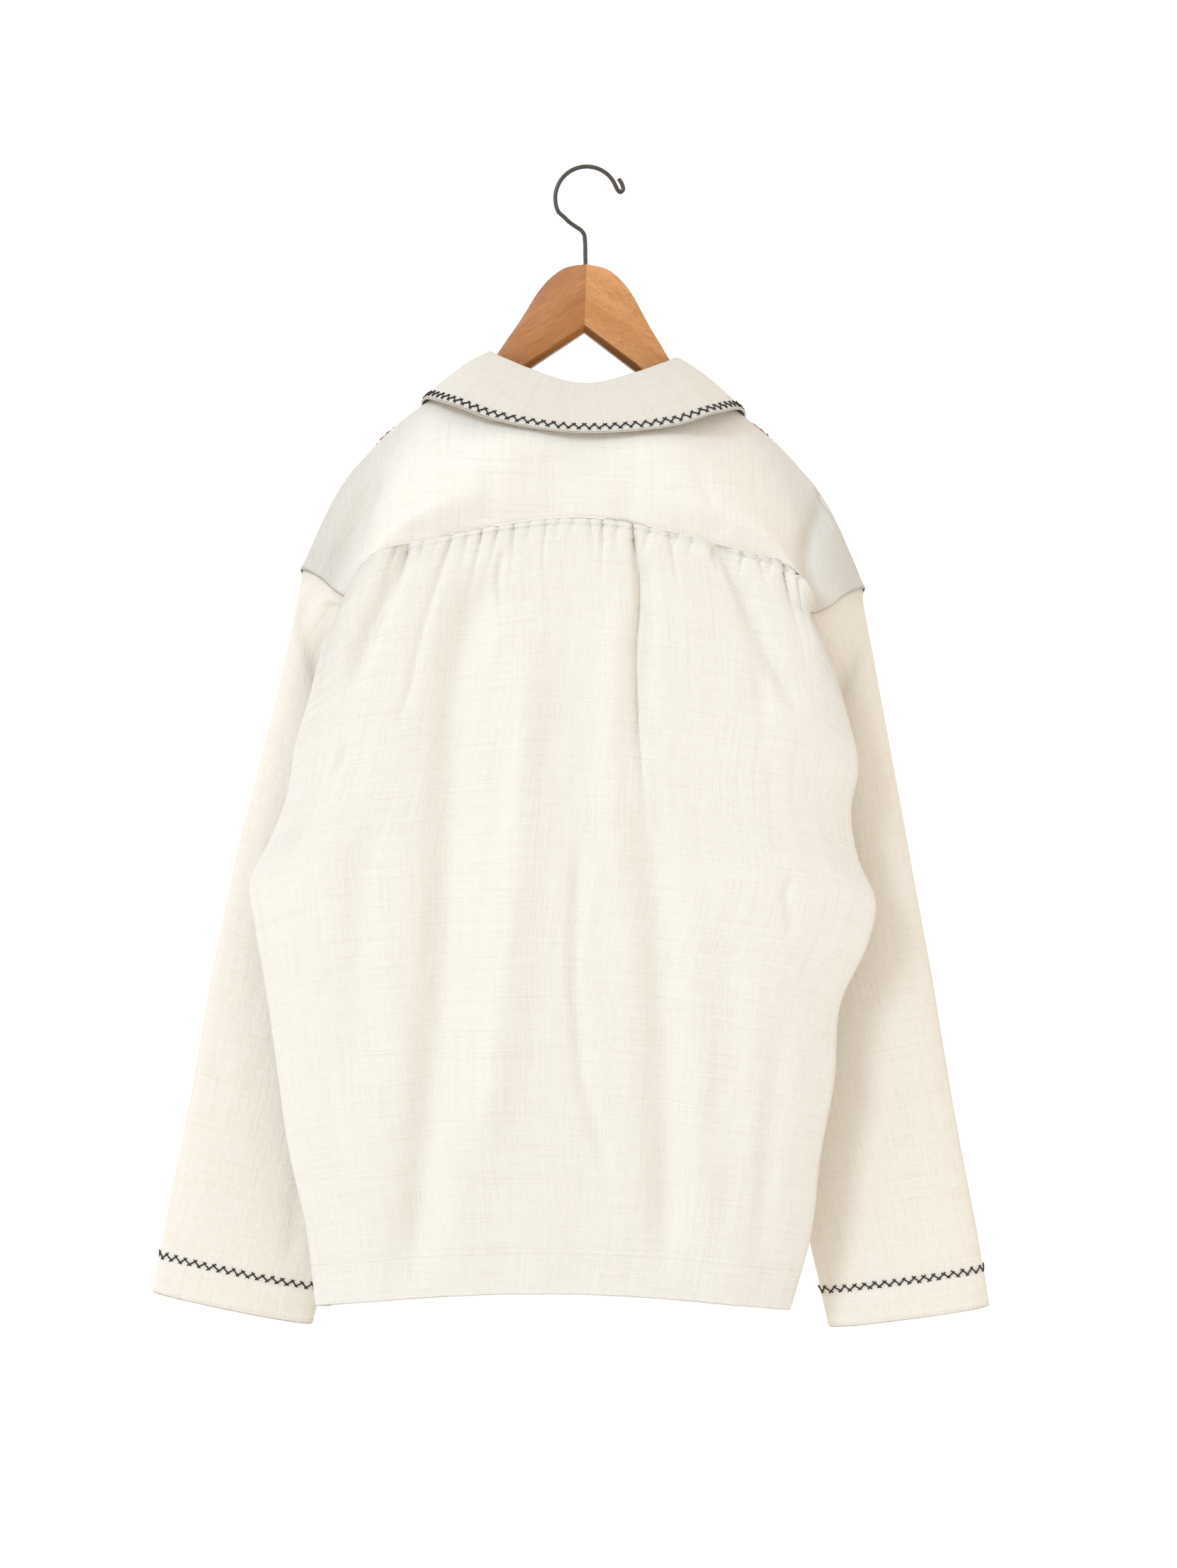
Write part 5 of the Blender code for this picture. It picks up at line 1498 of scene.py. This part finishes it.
def arm_mesh(side):
    """One arm, from its outline in the hanger's plane, cut off at the mitre."""
    top = np.array(ARM_TOP, float)
    smooth_top = through(chord_lengths(top), top, np.linspace(0, chord_lengths(top)[-1], 70))
    under = [*ARM_UNDER, (-PAST_MITRE, ARM_UNDER[-1][1])]
    outline = [(-PAST_MITRE, ARM_TOP[0][1]), *map(tuple, smooth_top), *ARM_TIP, *under]
    work = bmesh.new()
    rings = []
    back_y, front_y = -WOOD_THICK / 2, WOOD_THICK / 2
    for y, raised in ((back_y, CHAMFER_HIGH), (back_y + WOOD_CHAMFER, 0.0), (front_y, 0.0)):
        rings.append([work.verts.new((x, y, z + raised * ((x, z) in under))) for x, z in outline])
    work.faces.new(rings[0])
    work.faces.new(rings[-1][::-1])
    count = len(outline)
    for near, far in zip(rings, rings[1:]):
        for k in range(count):
            after = (k + 1) % count
            work.faces.new((near[after], near[k], far[k], far[after]))
    work.normal_update()
    sharp = [
        edge for edge in work.edges
        if len(edge.link_faces) == 2 and edge.calc_face_angle() > math.radians(40)
    ]
    bmesh.ops.bevel(work, geom=sharp, offset=WOOD_ROUND, segments=4, profile=0.5, affect="EDGES")
    cut = bmesh.ops.bisect_plane(
        work, geom=[*work.verts, *work.edges, *work.faces],
        plane_co=(MITRE_GAP / 2, 0, 0), plane_no=(-1, 0, 0), clear_outer=True,
    )
    cut_edges = [part for part in cut["geom_cut"] if isinstance(part, bmesh.types.BMEdge)]
    bmesh.ops.holes_fill(work, edges=cut_edges, sides=0)
    for vertex in work.verts:
        x, y, z = vertex.co
        place = leaned(np.array([[side * x, y + math.tan(ARM_SWEEP) * x, z]]))[0]
        vertex.co = place * MM
    bmesh.ops.recalc_face_normals(work, faces=work.faces)
    mesh = bpy.data.meshes.new("arm")
    work.to_mesh(mesh)
    work.free()
    mesh.shade_smooth()
    mesh.set_sharp_from_angle(angle=math.radians(32))
    return mesh


arms = {}
for side, sign, wood in (("left", -1, beech_left_painted_shade), ("right", 1, beech_right_painted_light)):
    mesh = arm_mesh(sign)
    mesh.materials.append(wood)
    mesh.materials.append(beech_under_painted_shade)
    # Downward faces take the darker beech: painted shade.
    for face in mesh.polygons:
        face.material_index = int(face.normal.z < UNDERSIDE_FACING)
    arms[side] = link_mesh(f"beech_arm_{side}", mesh)
    darker = sum(face.area for face in mesh.polygons if face.material_index)
    print(f"beech_arm_{side}: {darker * 1e4:.1f} cm2 of underside and chamfer in the painted-shade beech")
    print(f"beech_arm_{side}:", len(mesh.polygons), "faces")

# %% [markdown]
# ## The hook
#
# The hook is one bent wire, so it is made the way wire is drawn: a line for its path and a round
# section swept along it. A second small node tree does this. The path rises from the wood, leans
# over, runs round most of a circle and folds back on itself, which keeps the end from scratching.

# %% Hook
WIRE = 1.65
HOOK_ARC, HOOK_ARC_X, HOOK_STEM_X, HOOK_STEM_DEPTH = 24.4, 1.1, 0.2, 22.0
HOOK_BEND = ((0, -66), (-0.3, -55.6), (-1.0, -51), (-2.8, -48.3), (-7.4, -45), (-12.1, -41.7), (-16.3, -37.7))
HOOK_END = ((25.4, -16.9), (27.3, -18.2), (29.2, -16.5), (28.7, -12.6), (26.0, -7.9))


def wire_tree():
    tree = bpy.data.node_groups.new("draw wire", "GeometryNodeTree")
    socket_names(tree, (
        ("Path", "Geometry"), ("Wire radius", "Float"), ("Sides", "Int"), ("Finish", "Material")
    ))
    given = tree.nodes.new("NodeGroupInput").outputs

    def node(kind, links):
        return add_node(tree, "GeometryNode" + kind, links).outputs[0]

    path = node("MeshToCurve", [(0, given["Path"])])
    ring = node("CurvePrimitiveCircle", [("Radius", given["Wire radius"]), ("Resolution", given["Sides"])])
    tube = node("CurveToMesh", [("Curve", path), ("Profile Curve", ring), ("Fill Caps", True)])
    smooth = node("SetShadeSmooth", [(0, node("RealizeInstances", [(0, tube)]))])
    finished = node("SetMaterial", [("Geometry", smooth), ("Material", given["Finish"])])
    tree.links.new(finished, tree.nodes.new("NodeGroupOutput").inputs[0])
    return tree


stem = [(HOOK_STEM_X, ARM_TOP[0][1] - HOOK_STEM_DEPTH), (HOOK_STEM_X, ARM_TOP[0][1])]
arc = [
    (HOOK_ARC_X + HOOK_ARC * math.cos(a), WIRE - HOOK_ARC + HOOK_ARC * math.sin(a))
    for a in np.radians(np.linspace(206, 20, 12))
]
path = np.array([(x, 0, z) for x, z in [*stem, *HOOK_BEND, *arc, *HOOK_END]])
path_length = chord_lengths(path)
path = through(path_length, path, np.linspace(0, path_length[-1], 240))
path_mesh = bpy.data.meshes.new("hook path")
path_mesh.from_pydata((path * MM).tolist(), [(k, k + 1) for k in range(len(path) - 1)], [])
hook = grown("wire_hook", path_mesh, wire_tree(), {
    "Wire radius": WIRE * MM, "Sides": 20, "Finish": wire_lacquer
})
print("wire_hook:", round(float(path_length[-1])), "mm of wire")

# %% [markdown]
# ## Buttons
#
# Six small buttons close the front. One is turned from a profile, its four holes are bored by a
# Boolean, and it is copied to each place with its own cross of thread. They stand on the CAD
# model's places, so each centre comes from the frame.

# %% Buttons
BUTTON_PROFILE = (
    (0.0, -1.2), (5.4, -1.2), (6.2, -0.9), (6.5, -0.2), (6.4, 0.6), (5.9, 1.15),
    (5.3, 1.2), (4.7, 0.95), (4.2, 0.65), (3.4, 0.55), (0.0, 0.55),
)
BUTTON_HOLE, BUTTON_HOLE_OUT = 0.75, 1.45
CROSS_STRAND = 0.22  # half the distance between the two strands of a button's thread
BUTTONHOLE_HALF, BUTTONHOLE_PITCH = 8.5, 0.55


def turned_button():
    """One button, its face towards +Z."""
    work = bmesh.new()
    line = [work.verts.new((r, 0, z)) for r, z in BUTTON_PROFILE]
    edges = [work.edges.new(pair) for pair in zip(line, line[1:])]
    bmesh.ops.spin(work, geom=[*line, *edges], cent=(0, 0, 0), axis=(0, 0, 1), angle=2 * math.pi, steps=36)
    bmesh.ops.remove_doubles(work, verts=work.verts, dist=0.01)
    bmesh.ops.recalc_face_normals(work, faces=work.faces)
    body = bpy.data.meshes.new("button")
    work.to_mesh(body)
    work.free()
    drill = bmesh.new()
    for x in (-1, 1):
        for y in (-1, 1):
            spot = Matrix.Translation((x * BUTTON_HOLE_OUT, y * BUTTON_HOLE_OUT, 0))
            bmesh.ops.create_cone(
                drill, cap_ends=True, segments=12, depth=6, matrix=spot,
                radius1=BUTTON_HOLE, radius2=BUTTON_HOLE,
            )
    bores = bpy.data.meshes.new("bores")
    drill.to_mesh(bores)
    drill.free()
    blank, tool = link_mesh("blank", body), link_mesh("bores", bores)
    bored = blank.modifiers.new("bored", "BOOLEAN")
    bored.object, bored.solver = tool, "EXACT"
    bpy.context.view_layer.update()
    made = bpy.data.meshes.new_from_object(blank.evaluated_get(bpy.context.evaluated_depsgraph_get()))
    bpy.data.objects.remove(blank)
    bpy.data.objects.remove(tool)
    made.shade_smooth()
    made.set_sharp_from_angle(angle=math.radians(35))
    return made


button_pattern = turned_button()
button_pattern.materials.append(button_shell)
outer_front, front_way, _ = cloth_grids["shirt_front_right"]
buttons, thread_rows, hole_rows = [], [], []
for number in range(1, 7):
    low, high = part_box(f"button_{number}")
    centre = np.array((low + high) / 2) / MM
    nearest = np.argmin(np.linalg.norm(outer_front - centre, axis=2))
    face_way = front_way.reshape(-1, 3)[nearest]
    side_way = unit(np.cross((0, 0, 1), face_way))
    up_way = np.cross(face_way, side_way)
    turn = Matrix((side_way, up_way, face_way)).transposed().to_4x4()
    mesh = button_pattern.copy()
    mesh.transform(Matrix.Translation(centre * MM) @ turn @ Matrix.Diagonal((MM, MM, MM, 1)))
    buttons.append(link_mesh(f"shell_button_{number}", mesh))
    for sign in (-1, 1):
        for lay in (-CROSS_STRAND, CROSS_STRAND):
            spot = centre + face_way * 0.75 + side_way * (sign * BUTTON_HOLE_OUT + lay)
            thread_rows.append((spot, up_way, face_way, 2 * BUTTON_HOLE_OUT + 0.7))
    cloth_spot = outer_front.reshape(-1, 3)[nearest]
    base_spot = centre - face_way * float((centre - cloth_spot) @ face_way)
    for step in np.arange(-BUTTONHOLE_HALF, BUTTONHOLE_HALF + 0.1, BUTTONHOLE_PITCH):
        for sign in (-1, 1):
            spot = base_spot + up_way * step + side_way * sign * 1.1 + face_way * 0.15
            hole_rows.append((spot, side_way, face_way, 1.7))
button_thread, buttonholes = (
    lay_stitches(
        name, *map(np.array, zip(*rows)), cream_thread, width=0.5, arch=arch, uneven=uneven, seed=seed
    )
    for name, rows, arch, uneven, seed in (
        ("button_thread", thread_rows, 0.35, 0.05, 31), ("buttonholes", hole_rows, 0.15, 0.08, 33)
    )
)

# %% [markdown]
# ## Fixing everything to the frame
#
# Each piece rides on the one rigid body, and the solids that a piece replaces are hidden. The
# table lists each cloth's cut. A cut is worked out as a pattern cutter would, from widths and
# lengths read off the picture, the cloth that the tucks take up, and guesses for what the picture
# hides: the turned-away sides, the upper sleeves and the whole front.

# %% Declarations
CLOTH_CUTS = (
    # piece, solid, flat width and length, flat area, how it is held
    (back, "back_panel", (0.628, 0.581), 0.2968, "gathered"),
    (yoke, "yoke", (0.470, 0.240), 0.0690, "hung"),
    (collar, "collar", (0.696, 0.085), 0.0427, "folded"),
    (sleeves["left"], "sleeve_left", (0.410, 0.579), 0.1717, "hung"),
    (sleeves["right"], "sleeve_right", (0.410, 0.564), 0.1659, "hung"),
    (fronts["left"], "front_left", (0.253, 0.640), 0.1464, "hung"),
    (fronts["right"], "front_right", (0.253, 0.640), 0.1464, "hung"),
)
for piece, node, flat_size, flat_area, held in CLOTH_CUTS:
    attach(piece, "root")
    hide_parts(node)
for piece, slot in (
    (collar_embroidery, "black_thread"), (cuff_embroidery["left"], "black_thread"),
    (cuff_embroidery["right"], "black_thread"), (shoulder_embroidery, "red_thread"),
    *((row, "cream_thread") for row in topstitching.values()),
    (button_thread, "cream_thread"), (buttonholes, "cream_thread"),
):
    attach(piece, "root")
for side in ("left", "right"):
    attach(arms[side], "root")
    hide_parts(f"hanger_arm_{side}")
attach(hook, "root")
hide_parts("hook")
for number, piece in enumerate(buttons, start=1):
    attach(piece, "root")
    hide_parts(f"button_{number}")
